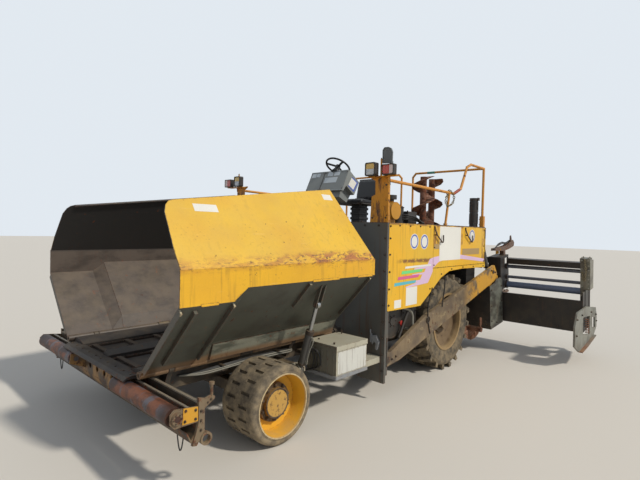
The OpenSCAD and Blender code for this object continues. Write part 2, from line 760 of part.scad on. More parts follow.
module extension() {
    raised() {
        // front plate and sole
        bx(1090, 2256, 4372, 4384, 12, 440);
        bx(1090, 2256, 4383, 4760, 5, 50);
        bx(1090, 2256, 4383, 4400, 420, 440);
        bx(1100, 2256, 4744, 4760, 49, 280);
        bx(1090, 1106, 4383, 4760, 49, 280);
        // guide bars
        cx(1000, 2250, 4560, 804, 26);
        cx(1000, 2250, 4560, 645, 22);
        cx(1000, 2250, 4560, 530, 45);
        bx(1222, 2250, 4500, 4600, 850, 930);
        // end plate, column and head
        bx(2240, 2256, 4372, 4760, 40, 560);
        bx(2203, 2242, 4460, 4640, 330, 990);
        bx(2240, 2318, 4460, 4640, 575, 960);
        bx(2200, 2318, 4440, 4560, 950, 1000);
        for (y = [4480, 4700]) bx(2255, 2261.7, y, y + 40, 60, 560);
    }
}
module shoe() {
    raised() {
        difference() {
            side_plate(2262, 2282, [[3850, -20], [4100, -170], [4418, -178], [4876, -160], [5048, -76],
                [5058, 60], [5000, 215], [4470, 352], [3992, 380], [3870, 222]]);
            // window over the slide, and the smaller one behind it
            side_plate(2250, 2290, [[4262, 250], [4270, 20], [4640, -70], [4640, 183]]);
            side_plate(2250, 2290, [[4770, 134], [4790, -40], [4950, -60], [4940, 83]]);
        }
        // runner along the foot
        side_plate(2281, 2316, [[4100, -170], [4418, -178], [4876, -160], [4874, -149], [4420, -167],
            [4102, -159]]);
    }
}

// Lift cylinders of the screed

lift_top = [1120, 3690, 1640];
lift_eye = [1120, 3960, 1130];
lift_dir = (lift_eye - lift_top) / norm(lift_eye - lift_top);
module lift_barrel() {
    frame() difference() {
        union() {
            rod(lift_top + lift_dir * 86, lift_top + lift_dir * 500, 34);
            rod(lift_top, lift_top + lift_dir * 88, 18);
            cx(1098, 1136, lift_top[1], lift_top[2], 30);
        }
        cx(1090, 1150, lift_top[1], lift_top[2], 16 + slack);
        rod(lift_top + lift_dir * 105, lift_top + lift_dir * 510, 18 + slack);
    }
}
module lift_rod() {
    frame() difference() {
        union() {
            rod(lift_top + lift_dir * 122, lift_eye - lift_dir * 20, 18);
            cx(1100, 1140, lift_eye[1], lift_eye[2], 34);
        }
        cx(1090, 1150, lift_eye[1], lift_eye[2], 20);
    }
}

// Nodes

chassis_frame();  // frame
axles();
knuckle();  // knuckle_l
right() knuckle();  // knuckle_r
tie_rod();
tyre_front();  // tyre_fl
right() tyre_front();  // tyre_fr
rim_front();  // rim_fl
right() rim_front();  // rim_fr
tyre_rear();  // tyre_rl
right() tyre_rear();  // tyre_rr
rim_rear();  // rim_rl
right() rim_rear();  // rim_rr
hopper_floor();
conveyor();
push_beam();
roller();  // roller_l
right() roller();  // roller_r
wing();  // wing_l
right() wing();  // wing_r
wing_barrel();  // wing_barrel_l
right() wing_barrel();  // wing_barrel_r
wing_rod();  // wing_rod_l
right() wing_rod();  // wing_rod_r
side_boxes();
lid();  // lid_l
right() lid();  // lid_r
bulkhead();
side_panels();
door();  // door_l
right() door();  // door_r
deck();
engine();
console();
steering_wheel();
seat();
lamp_posts();
lamps();
mirror_glass();  // mirror
handrails();
air_cleaner();
stored_augers();
auger_frame();
auger(1);  // auger_l
right() auger(1);  // auger_r
lift_barrel();  // lift_barrel_l
right() lift_barrel();  // lift_barrel_r
lift_rod();  // lift_rod_l
right() lift_rod();  // lift_rod_r
tow_arms();
screed_main();
screed_deck();
extension();  // ext_l
right() extension();  // ext_r
shoe();  // shoe_l
right() shoe();  // shoe_r
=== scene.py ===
import bpy
import bmesh
import math
import random
from mathutils import Euler, Matrix, Vector


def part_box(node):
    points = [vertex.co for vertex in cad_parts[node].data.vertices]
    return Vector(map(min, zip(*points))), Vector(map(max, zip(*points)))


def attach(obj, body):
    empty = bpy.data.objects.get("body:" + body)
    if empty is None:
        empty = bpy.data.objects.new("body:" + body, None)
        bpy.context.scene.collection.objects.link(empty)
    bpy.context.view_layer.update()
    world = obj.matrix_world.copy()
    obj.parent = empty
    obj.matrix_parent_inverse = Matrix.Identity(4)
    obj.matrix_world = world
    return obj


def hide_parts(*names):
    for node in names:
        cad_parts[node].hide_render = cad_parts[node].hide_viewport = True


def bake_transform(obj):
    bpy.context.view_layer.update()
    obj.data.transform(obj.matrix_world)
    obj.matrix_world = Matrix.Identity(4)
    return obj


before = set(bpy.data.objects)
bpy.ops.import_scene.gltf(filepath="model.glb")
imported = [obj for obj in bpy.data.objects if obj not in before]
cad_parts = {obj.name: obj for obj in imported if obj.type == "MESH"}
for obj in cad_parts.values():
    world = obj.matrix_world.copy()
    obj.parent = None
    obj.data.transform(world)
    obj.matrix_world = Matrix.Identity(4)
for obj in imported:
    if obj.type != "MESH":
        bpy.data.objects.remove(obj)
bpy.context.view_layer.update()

# Driving places, in metres. Lengths along the machine are read from the front axle.
tyre_low, tyre_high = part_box("tyre_fl")
FRONT_AXLE_Y = (tyre_low.y + tyre_high.y) / 2
SIDES = (("l", 1), ("r", -1))
BODY_OUT = 1.225
TOW_PIN_Y, TOW_PIN_Z = 1.375, 0.395
SCREED_RAISE = math.radians(7)
TANK = (1.600, 0.730)
STACK = (1.080, 3.545)
PUMP = (1.010, 1.790)
WHEELBASE = 2.765
REAR_AXLE_Z = 0.578
WING_OUT = 1.237
BAND_TOP = 1.405
UPPER_SLOPE = 54.6


def at(x, y, z):
    """A point whose y is read from the front axle."""
    return Vector((x, y + FRONT_AXLE_Y, z))


def srgb(red, green, blue):
    """A colour as it looks, 0 to 255, as the shader's linear numbers."""
    def linear(c):
        c = c / 255
        return c / 12.92 if c <= 0.04045 else ((c + 0.055) / 1.055) ** 2.4
    return (linear(red), linear(green), linear(blue), 1.0)


# Shader maths

class Wire:
    """A number or colour in a finish, which takes part in sums as it reads."""

    def __init__(self, finish, socket):
        self.finish = finish
        self.socket = socket

    def __add__(self, other):
        return self.finish.sum("ADD", self, other)

    def __radd__(self, other):
        return self.finish.sum("ADD", other, self)

    def __sub__(self, other):
        return self.finish.sum("SUBTRACT", self, other)

    def __rsub__(self, other):
        return self.finish.sum("SUBTRACT", other, self)

    def __mul__(self, other):
        return self.finish.sum("MULTIPLY", self, other)

    def __rmul__(self, other):
        return self.finish.sum("MULTIPLY", other, self)

    def most(self, other):
        return self.finish.sum("MAXIMUM", self, other)

    def least(self, other):
        return self.finish.sum("MINIMUM", self, other)

    def size(self):
        return self.finish.sum("ABSOLUTE", self)

    def over(self, start, end):
        """0 up to start, 1 from end on, and smooth between them."""
        return self.finish.node("ShaderNodeMapRange", {"interpolation_type": "SMOOTHSTEP"},
                                {"Value": self, "From Min": start, "From Max": end})


class Finish:
    """A material in the making."""

    def __init__(self, name):
        self.material = bpy.data.materials.new(name)
        self.material.use_nodes = True
        self.tree = self.material.node_tree
        self.tree.nodes.clear()
        self.coordinates = self.node("ShaderNodeTexCoord", out="Object")
        self.x, self.y, self.z = self.parts(self.coordinates)
        facing = Wire(self, self.coordinates.socket.node.outputs["Normal"])
        self.facing = self.parts(facing)

    def node(self, kind, settings=None, inputs=None, out=0):
        made = self.tree.nodes.new(kind)
        for key, value in (settings or {}).items():
            setattr(made, key, value)
        for key, value in (inputs or {}).items():
            if isinstance(value, Wire):
                self.tree.links.new(value.socket, made.inputs[key])
            else:
                made.inputs[key].default_value = value
        return Wire(self, made.outputs[out]) if made.outputs else None

    def sum(self, operation, *terms):
        return self.node("ShaderNodeMath", {"operation": operation}, dict(enumerate(terms)))

    def parts(self, vector):
        split = self.node("ShaderNodeSeparateXYZ", None, {0: vector})
        return [Wire(self, out) for out in split.socket.node.outputs]

    def grain(self, size, detail=3.0, stretch=(1, 1, 1), rough=0.55, shift=0.0):
        """Cloudy noise, about 0 to 1, whose spots are about size metres across."""
        scale = [1 / (size * s) for s in stretch]
        place = self.node("ShaderNodeMapping", None, {"Vector": self.coordinates, "Scale": scale,
                                                      "Location": (shift, shift * 0.7, shift * 1.3)})
        return self.node("ShaderNodeTexNoise", None, {"Vector": place, "Scale": 1.0, "Detail": detail,
                                                      "Roughness": rough})

    def mix(self, share, first, second):
        return self.node("ShaderNodeMix", {"data_type": "RGBA"}, {0: share, 6: first, 7: second}, out=2)

    def lit(self, colour, gain):
        """The colour made lighter or darker by a number."""
        grey = self.node("ShaderNodeCombineColor", None, {0: gain, 1: gain, 2: gain})
        return self.node("ShaderNodeMix", {"data_type": "RGBA", "blend_type": "MULTIPLY"},
                         {0: 1.0, 6: colour, 7: grey}, out=2)

    def edges(self, reach):
        """Near 1 along worn corners, within reach metres of them."""
        rounded = self.node("ShaderNodeBevel", {"samples": 4}, {"Radius": reach})
        flat = self.node("ShaderNodeNewGeometry", out="True Normal")
        along = self.node("ShaderNodeVectorMath", {"operation": "DOT_PRODUCT"}, {0: rounded, 1: flat},
                          out="Value")
        return (1 - along).over(0.02, 0.2)

    def bump(self, height, distance, strength=0.6):
        return self.node("ShaderNodeBump", None, {"Height": height, "Distance": distance,
                                                  "Strength": strength})

    def done(self, colour, roughness=0.6, metallic=0.0, normal=None, **fixed):
        inputs = {"Base Color": colour, "Roughness": roughness, "Metallic": metallic}
        if normal is not None:
            inputs["Normal"] = normal
        inputs.update({key.replace("_", " "): value for key, value in fixed.items()})
        surface = self.node("ShaderNodeBsdfPrincipled", None, inputs)
        self.node("ShaderNodeOutputMaterial", None, {"Surface": surface})
        return self.material


# Colours as they look in daylight

YELLOW = srgb(230, 176, 34)
PALE_YELLOW = srgb(222, 178, 48)
DEEP_YELLOW = srgb(198, 136, 32)
DUST = srgb(168, 146, 112)
RUST = srgb(112, 62, 36)
DARK_RUST = srgb(66, 42, 32)
ORANGE_RUST = srgb(158, 84, 46)
SOOT = srgb(52, 50, 48)
WING_GREY = srgb(76, 78, 68)
SCOURED = srgb(88, 77, 68)
BULKHEAD_GREY = srgb(80, 80, 76)
CONSOLE_GREY = srgb(128, 132, 130)
RUBBER = srgb(66, 61, 54)


def weathered(name, paint, rust=0.3, dust=0.3, streaks=0.3, wear=0.6, roughness=0.55, metallic=0.0,
              spots=0.05, worn_to=DARK_RUST):
    """Paint or bare metal outdoors: uneven colour, rust patches, runs, dust and worn corners."""
    f = Finish(name)
    colour = paint(f) if callable(paint) else paint
    broad = f.grain(0.7, 3.0)
    fine = f.grain(0.012, 2.0)
    colour = f.lit(colour, 0.78 + broad * 0.3 + fine * 0.14)
    runs = f.grain(0.035, 3.0, (1, 1, 14), shift=3).over(0.52, 0.72)
    runs = runs * broad.over(0.35, 0.6) * (1 - f.facing[2].size()) * streaks
    colour = f.mix(runs, colour, srgb(84, 54, 36))
    patches = f.grain(spots, 6.0, rough=0.68, shift=7)
    region = f.grain(0.5, 3.0, shift=11).over(0.4, 0.7)
    rusty = (patches + region * 0.22 * rust).over(0.74 - rust * 0.2, 0.8 - rust * 0.2)
    corner = f.edges(0.012) * f.grain(0.03, 4.0, shift=5).over(0.62 - wear * 0.3, 0.66)
    rusty = rusty.most(corner * min(1.0, wear * 1.4))
    rust_colour = f.mix(f.grain(0.03, 3.0, shift=2).over(0.35, 0.65), worn_to, RUST)
    colour = f.mix(rusty, colour, rust_colour)
    settled = f.facing[2].over(0.2, 0.9) * 0.6 + (1 - f.z.over(0.1, 1.1)) * 0.45
    settled = settled * f.grain(0.14, 4.0, shift=9).over(0.3, 0.7) * dust
    colour = f.mix(settled.least(0.9), colour, DUST)
    rough = roughness + rusty * 0.28 + settled * 0.3 + fine * 0.08 - 0.04
    height = fine * 0.25 + rusty * 0.6 + patches * 0.3
    return f.done(colour, rough.least(1.0), metallic, f.bump(height, 0.002, 0.5))


def lowered(f):
    """How far back and how high a place is while the screed is level, in metres from the tow pins."""
    y = f.y - (TOW_PIN_Y + FRONT_AXLE_Y)
    z = f.z - TOW_PIN_Z
    along, rise = math.cos(SCREED_RAISE), math.sin(SCREED_RAISE)
    return y * along + z * rise, z * along - y * rise


def wing_paint(f, side):
    """Yellow outside above the band's foot, grey plates below, a black and scoured inside."""
    out = (f.facing[0] * side).over(-0.05, 0.05)
    shell = f.x.size().over(1.2262, 1.2272) * (f.facing[0] * side).over(0.93, 0.97)
    shell = shell.most(f.z.over(1.397, 1.399))
    yellow = f.mix(f.z.over(1.35, 1.5), YELLOW, PALE_YELLOW)
    yellow = f.mix(f.grain(0.4, 4.0, (1, 2, 1), shift=31).over(0.4, 0.75) * 0.5, yellow, srgb(206, 150, 44))
    # rust along the bend, worst towards the rear, and specks that thin out above it
    wave = f.grain(0.3, 3.0, (1, 2, 1), shift=32) * 0.08 - 0.04
    near = 1 - (f.z - 1.425 + wave).size().over(0.01, 0.075)
    rear = 0.45 + f.y.over(-2.6, -1.5) * 0.55
    blots = f.grain(0.05, 6.0, (1, 3, 1), 0.72, 33).over(0.43, 0.56)
    yellow = f.mix(near * rear * blots * 0.85, yellow, ORANGE_RUST)
    dark = f.grain(0.022, 5.0, (1, 2.5, 1), 0.7, 34).over(0.53, 0.6)
    yellow = f.mix(near * rear * dark, yellow, srgb(88, 58, 38))
    specks = f.grain(0.018, 4.0, (1, 1.6, 1), 0.7, 35).over(0.62, 0.68) * (1 - f.z.over(1.5, 1.85))
    yellow = f.mix(specks * f.grain(0.35, 3.0, shift=36).over(0.4, 0.6) * 0.8, yellow, srgb(146, 92, 36))
    scrapes = f.grain(0.03, 4.0, (0.3, 9, 0.3), 0.6, 37).over(0.64, 0.7)
    scrapes = scrapes * f.grain(0.5, 2.0, shift=38).over(0.5, 0.6)
    yellow = f.mix(scrapes * 0.5, yellow, srgb(238, 206, 130))
    foot = (1 - f.z.over(0.76, 0.80)) * f.y.over(-2.44, -2.40)
    pale = f.grain(0.12, 5, (1, 2, 0.6), 0.65, 39).over(0.35, 0.6)
    lower = f.mix(f.grain(0.25, 4, (1, 1, 0.7), shift=4).over(0.45, 0.75) * 0.6, WING_GREY, srgb(54, 48, 40))
    lower = f.mix(foot * pale * 0.75, lower, srgb(138, 138, 122))
    lower = f.mix((1 - f.z.over(0.66, 0.70)) * 0.9, lower, srgb(120, 92, 64))
    lower = f.mix(f.grain(0.05, 6, (1, 1, 2), 0.7, 40).over(0.6, 0.68) * 0.7, lower, srgb(106, 74, 50))
    lower = f.mix(f.x.size().over(1.2376, 1.2380), lower, srgb(184, 172, 140))
    outside = f.mix(shell, lower, yellow)
    scoured = f.mix(f.grain(0.25, 5, (1, 1, 0.5), 0.65, 6).over(0.4, 0.7), SCOURED, srgb(66, 57, 50))
    scoured = f.mix(f.grain(0.09, 6, (1, 1, 2), 0.7, 8).over(0.6, 0.72), scoured, RUST)
    inside = f.mix(f.z.over(1.38, 1.41), scoured, srgb(50, 49, 48))
    return f.mix(out, inside, outside)


def body_paint(f):
    """Yellow with a rusty smear below the labels, rust round the doors' edges, and dark brown on the door
    handles that stand out of the side, as painted shade of their recesses.
    """
    colour = f.mix(f.grain(0.5, 3.0, shift=21).over(0.35, 0.7), YELLOW, PALE_YELLOW)
    wave = f.grain(0.2, 3.0, shift=22) * 0.06 - 0.03
    smear = 1 - (f.z - 1.365 + wave).size().over(0.006, 0.03)
    smear = smear * f.y.over(-0.62, -0.4) * (1 - f.y.over(0.2, 0.36))
    smear = smear * f.grain(0.04, 5.0, (1, 2, 1), 0.7, 23).over(0.4, 0.52)
    colour = f.mix(smear * 0.9, colour, srgb(112, 68, 40))
    for middle, half, low in ((0.215, 0.075, 1.47), (0.868, 0.035, 1.50), (1.50, 0.05, 1.30)):
        patch = 1 - (f.y - middle).size().over(half * 0.5, half)
        patch = patch * f.z.over(low, low + 0.05) * f.grain(0.06, 5.0, (1, 1, 2), 0.7, 24).over(0.38, 0.55)
        colour = f.mix(patch * 0.75, colour, srgb(126, 74, 40))
    rim = f.z.over(1.725, 1.745) * f.grain(0.05, 5.0, (1, 3, 1), 0.7, 25).over(0.4, 0.55)
    colour = f.mix(rim * 0.8, colour, srgb(104, 64, 38))
    # dark brown on what stands out of the side, the door handles: painted recess shade
    return f.mix(f.x.size().over(1.2262, 1.2272), colour, srgb(70, 50, 38))


def rim_paint(f, edge, inner, middle_y, middle_z, radii, hub, cap):
    """A dish with a worn edge, a darker bolted flange and its own colour on the cap."""
    y = f.y - (middle_y + FRONT_AXLE_Y)
    z = f.z - middle_z
    radius = f.sum("SQRT", y * y + z * z)
    colour = f.mix(radius.over(radii[0] - 0.006, radii[0]), inner, edge)
    flange = 1 - radius.over(radii[1], radii[1] + 0.008)
    flange = flange * (0.7 + f.grain(0.03, 5.0, shift=51) * 0.5).least(1.0)
    colour = f.mix(flange, colour, hub)
    blots = f.grain(0.035, 5.0, rough=0.7, shift=52).over(0.54, 0.62)
    face = f.mix(blots * 0.8, cap, srgb(84, 58, 36))
    return f.mix(1 - radius.over(radii[2] - 0.004, radii[2] + 0.002), colour, face)


def beam_paint(f):
    """Dark greasy channel, tan in the middle, with grey-brown end strips."""
    tan = f.mix(f.grain(0.16, 5.0, shift=41).over(0.4, 0.62), srgb(152, 112, 60), srgb(60, 48, 38))
    middle = (1 - f.x.size().over(0.42, 0.62)) * (1 - f.y.over(-2.90, -2.885))
    colour = f.mix(middle, srgb(54, 47, 40), tan)
    return f.mix(f.x.size().over(1.258, 1.264), colour, srgb(116, 100, 78))


def extension_paint(f):
    """Black plates, bluish grey guide bars whose lighter greys are partly painted sheen, the lowest one
    brighter blue as a painted highlight, and a scuffed grey column at the end.
    """
    back, up = lowered(f)
    bars_here = (1 - (back - 3.185).size().over(0.048, 0.052)) * (1 - up.over(0.436, 0.44))
    bars_here = bars_here * up.over(0.088, 0.09) * (1 - f.x.size().over(2.19, 2.195))
    # lighter bluish greys on the bars: partly their steel, partly painted sheen; the lowest bar's brighter
    # blue is a painted highlight
    steel = f.mix(up.over(0.19, 0.2), srgb(100, 112, 136), srgb(84, 88, 98))
    colour = f.mix(bars_here, srgb(34, 31, 29), steel)
    grey = f.mix(f.grain(0.15, 5.0, shift=43).over(0.4, 0.65), srgb(124, 122, 108), srgb(78, 74, 64))
    return f.mix(f.x.size().over(2.195, 2.2) * up.over(0.1, 0.2), colour, grey)


def screed_paint(f):
    """Black, with scuffed grey end plates whose grey is partly painted sunlight."""
    scuffed = f.mix(f.grain(0.2, 5.0, (1, 1, 0.5), 0.65, 44).over(0.35, 0.65), srgb(104, 106, 96),
                    srgb(58, 56, 50))
    # grey on the end plates: scuffing, and partly painted light where the sun falls on them
    ends = f.x.size().over(1.2196, 1.2199) * (1 - f.z.over(1.12, 1.14))
    return f.mix(ends, srgb(34, 31, 29), scuffed)


def shoe_paint(f):
    back, up = lowered(f)
    grey = f.mix(f.grain(0.2, 5.0, shift=45).over(0.4, 0.7), srgb(126, 128, 120), srgb(92, 90, 82))
    foot = (1 - up.over(-0.552, -0.542)) * (1 - back.over(2.85, 3.2) * 0.6)
    return f.mix(foot, grey, srgb(128, 86, 60))


def post_paint(f):
    """Deep yellow with brown drips down the middle of the sheet."""
    drips = f.grain(0.045, 4.0, (1, 1, 5), 0.65, 61).over(0.50, 0.58)
    drips = drips * (1 - (f.x.size() - 1.11).size().over(0.05, 0.11)) * (1 - f.z.over(2.10, 2.19))
    colour = f.mix(drips * 0.85, DEEP_YELLOW, srgb(96, 60, 34))
    black = f.grain(0.05, 5.0, (1, 1, 2), 0.7, 62).over(0.56, 0.62)
    black = black * (1 - (f.x.size() - 1.12).size().over(0.03, 0.07))
    return f.mix(black * 0.8, colour, srgb(48, 36, 28))


def air_paint(f):
    """A yellow drum with a black rain cap."""
    return f.mix(f.z.over(1.975, 1.985), srgb(190, 134, 34), srgb(40, 38, 36))


def box_paint(f):
    """Front and foot darker where they face -Y, as painted shade along with their darker paint; paler grey
    elsewhere, lightened as painted light for the lid in the wing's shadow.
    """
    # faces towards -Y darker: painted shade, partly the front's darker paint; the pale grey is partly painted
    # light
    front = (0 - f.facing[1]).over(0.5, 0.7)
    return f.mix(front, srgb(176, 172, 154), srgb(118, 115, 102))


def rubber(name, dust=0.75, base=RUBBER, dirt=srgb(138, 122, 96)):
    f = Finish(name)
    dusty = f.grain(0.08, 5.0, rough=0.65).over(0.32, 0.68) * dust
    low = 1 - f.z.over(0.0, 0.5)
    colour = f.mix((dusty + low * 0.15).least(1.0), base, dirt)
    fine = f.grain(0.006, 2.0)
    return f.done(f.lit(colour, 0.85 + fine * 0.3), 0.93, 0.0, f.bump(fine, 0.0015, 0.5))


def plain(name, colour, roughness=0.5, metallic=0.0, **fixed):
    """A small clean part, still with a little unevenness."""
    f = Finish(name)
    fine = f.grain(0.01, 3.0)
    return f.done(f.lit(colour, 0.86 + fine * 0.28), roughness, metallic, f.bump(fine, 0.0006, 0.4), **fixed)


def finishes():
    """Every finish by its name."""
    made = {}
    # paint, then the amounts of rust, dust, streaks and wear, roughness, metallic and the spots' size
    for key, paint, *amounts in (
            ("body_yellow", body_paint, 0.22, 0.2, 0.35, 0.7, 0.45),
            ("post_yellow", post_paint, 0.5, 0.15, 0.9, 0.9),
            ("rail_yellow", srgb(206, 140, 52), 0.55, 0.1, 0.3, 0.5, 0.55, 0.0, 0.03),
            ("beam", beam_paint, 0.6, 0.45, 0.5, 0.9),
            ("chassis", srgb(48, 44, 40), 0.4, 0.6),
            ("axle", srgb(42, 38, 34), 0.3, 0.7, 0.2),
            ("floor", srgb(54, 50, 48), 0.4, 0.12, 0.2, 0.6, 0.6, 0.2),
            ("chain", srgb(60, 52, 46), 0.5, 0.15, 0.3, 0.6, 0.55, 0.2),
            ("box", box_paint, 0.2, 0.3, 0.45, 0.8),
            ("bulkhead", BULKHEAD_GREY, 0.35, 0.25, 0.6, 0.8),
            ("deck", srgb(70, 64, 56), 0.4, 0.6, 0.1),
            ("engine", srgb(44, 42, 40), 0.2, 0.4),
            ("lamp_black", srgb(44, 42, 40), 0.1, 0.3, 0.3, 0.3),
            ("air_yellow", air_paint, 0.25, 0.3, 0.5),
            ("auger", srgb(120, 80, 60), 0.9, 0.3, 0.3, 0.6, 0.55, 0.2),
            ("arm", arm_paint, 0.45, 0.45, 0.25, 0.5),
            ("screed", screed_paint),
            ("extension", extension_paint, 0.3, 0.2, 0.3, 0.6, 0.42),
            ("shoe", shoe_paint, 0.4, 0.3, 0.5),
            ("walkway", srgb(96, 72, 56), 0.8, 0.4),
            ("cylinder", srgb(74, 74, 72), 0.2, 0.3, 0.3, 0.4),
            ("box_rail", srgb(134, 138, 142), 0.35),
            ("bolt_pale", srgb(140, 138, 126), 0.3, 0.3, 0.3, 0.3),
            ("chain_rust", srgb(112, 74, 52), 0.6),
            ("grease", srgb(52, 42, 36), 0.5, 0.5, 0.3, 0.2),
            ("worn_bright", srgb(150, 140, 124), 0.4, 0.3, 0.3, 0.6, 0.55, 0.4),
            # box_dark is the side boxes' darker front grey, for the ribs on the front: partly painted shade,
            # partly darker paint
            ("box_dark", srgb(112, 110, 100), 0.35, 0.4, 0.3, 0.8),
            ("box_pale", srgb(205, 205, 198), 0.1, 0.25, 0.5)):
        made[key] = weathered(key.replace("_", " "), paint, *amounts)
    for name, side in SIDES:
        made["wing_" + name] = weathered("wing paint " + name, lambda f, s=side: wing_paint(f, s), rust=0.32,
                                         dust=0.25, streaks=0.35, wear=0.8, roughness=0.5)
    made["rim_yellow"] = weathered("rim yellow", lambda f: rim_paint(
        f, srgb(196, 176, 136), srgb(222, 166, 40), 0, 0.309, (0.240, 0.150, 0.117), srgb(70, 54, 40),
        srgb(190, 148, 70)), rust=0.3, dust=0.35, streaks=0.1)
    made["rear_rim"] = weathered("rear rim tan", lambda f: rim_paint(
        f, srgb(150, 124, 84), srgb(104, 84, 60), WHEELBASE, REAR_AXLE_Z, (0.318, 0.150, 0.096),
        srgb(74, 60, 46), srgb(96, 78, 58)), rust=0.3, dust=0.6, streaks=0.1)
    made["roller"] = roller_rust()
    made["console"] = weathered("console grey", CONSOLE_GREY, rust=0.1, dust=0.3, streaks=0.15, wear=0.3,
                                worn_to=SOOT)
    made["black_plastic"] = plain("black plastic", srgb(26, 26, 27), 0.45)
    made["mirror_grey"] = weathered("mirror shell", srgb(92, 96, 98), rust=0.0, dust=0.25, streaks=0.2,
                                    wear=0.2, worn_to=SOOT)
    made["piping"] = plain("seat piping", srgb(22, 22, 24), 0.45)
    made["bright_rod"] = plain("bright rod", srgb(170, 172, 172), 0.28, 1.0)
    made["tyre"] = rubber("tyre rubber")
    made["front_rubber"] = rubber("front tyre rubber", 0.9, srgb(88, 80, 69), srgb(146, 130, 104))
    made["vinyl"] = plain("seat vinyl", srgb(34, 34, 37), 0.5)
    made["hose"] = plain("hose rubber", srgb(46, 44, 42), 0.5)
    for name, colour in (("label_white", srgb(226, 224, 216)), ("label_pale", srgb(196, 204, 208)),
                         ("label_blue", srgb(84, 104, 178)), ("stripe_green", srgb(112, 210, 128)),
                         ("stripe_pink", srgb(206, 96, 140)), ("stripe_cyan", srgb(88, 178, 190)),
                         ("stripe_lilac", srgb(216, 186, 214)), ("console_edge", srgb(150, 156, 156)),
                         ("label_tan", srgb(168, 140, 92)), ("teal_tape", srgb(62, 132, 108)),
                         ("red_tape", srgb(150, 62, 44)), ("valve_red", srgb(168, 34, 30)),
                         ("mirror_line", srgb(128, 132, 134)), ("bracket_yellow", srgb(206, 150, 40)),
                         ("pipe_grey", srgb(128, 126, 116)), ("strap_black", srgb(40, 36, 33)),
                         ("chain_steel", srgb(132, 120, 92))):
        made[name] = weathered(name.replace("_", " "), colour, rust=0.0, dust=0.25, streaks=0.0, wear=0.0,
                               roughness=0.6)
    made["looking_glass"] = plain("looking glass", srgb(196, 202, 206), 0.06, 1.0)
    made["glass"] = plain("lamp glass", srgb(190, 196, 204), 0.08, 0.0, Coat_Weight=1.0, Coat_Roughness=0.05)
    made["lens_amber"] = plain("lamp amber", srgb(206, 170, 70), 0.2, 0.0, Coat_Weight=0.8)
    made["lens_red"] = plain("lens red", srgb(176, 38, 24), 0.2, 0.0, Coat_Weight=0.8)
    made["lens_red_ribs"] = plain("lens ribs", srgb(196, 60, 36), 0.2, 0.0, Coat_Weight=0.8)
    made["lens_clear"] = plain("lens clear", srgb(206, 188, 186), 0.15, 0.0, Coat_Weight=0.8)
    return made


def roller_rust():
    f = Finish("roller rust")
    blotch = f.grain(0.16, 5.0, (1.4, 1, 1), 0.62)
    colour = f.mix(blotch.over(0.44, 0.6), srgb(70, 52, 48), srgb(132, 80, 54))
    bare = f.grain(0.2, 4.0, (0.5, 1, 1), 0.6, 5).over(0.52, 0.62)
    colour = f.mix(bare * 0.75, colour, srgb(100, 104, 112))
    ends = f.x.size().over(1.1, 1.2)
    colour = f.mix(ends * 0.8, colour, srgb(58, 44, 40))
    fine = f.grain(0.01, 4.0)
    colour = f.lit(colour, 0.7 + fine * 0.5)
    return f.done(colour, 0.55, 0.25, f.bump(fine + blotch, 0.002, 0.5))


def arm_paint(f):
    """Scuffed grey-brown, yellow towards the rear end."""
    brown = f.mix(f.grain(0.3, 5, (1, 1, 1), 0.6, 2).over(0.4, 0.65), srgb(124, 106, 80), srgb(84, 72, 60))
    brown = f.mix(f.grain(0.07, 5, (1, 2, 1), 0.7, 15).over(0.56, 0.66) * 0.7, brown, srgb(152, 134, 100))
    rear = f.y.over(0.95, 1.45)
    patch = f.grain(0.2, 4, shift=12).over(0.34, 0.5)
    return f.mix(rear * patch, brown, srgb(198, 146, 44))


NODE_FINISH = {
    "frame": "chassis", "axles": "axle", "knuckle": "axle", "tie_rod": "axle",
    "tyre": "tyre", "rim_f": "rim_yellow", "rim_r": "rear_rim",
    "hopper_floor": "floor", "conveyor": "chain", "push_beam": "beam", "roller": "roller",
    "wing_l": "wing_l", "wing_r": "wing_r", "wing_barrel": "cylinder", "wing_rod": "bright_rod",
    "side_boxes": "box", "lid": "box", "bulkhead": "bulkhead", "side_panels": "body_yellow",
    "door": "body_yellow", "deck": "deck", "engine": "engine", "console": "console",
    "steering_wheel": "black_plastic", "seat": "vinyl", "lamp_posts": "post_yellow", "lamps": "lamp_black",
    "mirror": "mirror_grey",
    "handrails": "rail_yellow", "air_cleaner": "air_yellow", "stored_augers": "auger",
    "auger_frame": "screed", "auger_l": "auger", "auger_r": "auger", "lift_barrel": "cylinder",
    "lift_rod": "bright_rod", "tow_arms": "arm", "screed_main": "screed", "screed_deck": "walkway",
    "ext": "extension", "shoe": "shoe",
}


def dress_nodes(made):
    """Gives each part of the frame its finish: the longest name that its own starts with."""
    for name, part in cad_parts.items():
        keys = [key for key in NODE_FINISH if name.startswith(key)]
        for slot in part.material_slots:
            slot.material = made[NODE_FINISH[max(keys, key=len)]]


# Mesh work

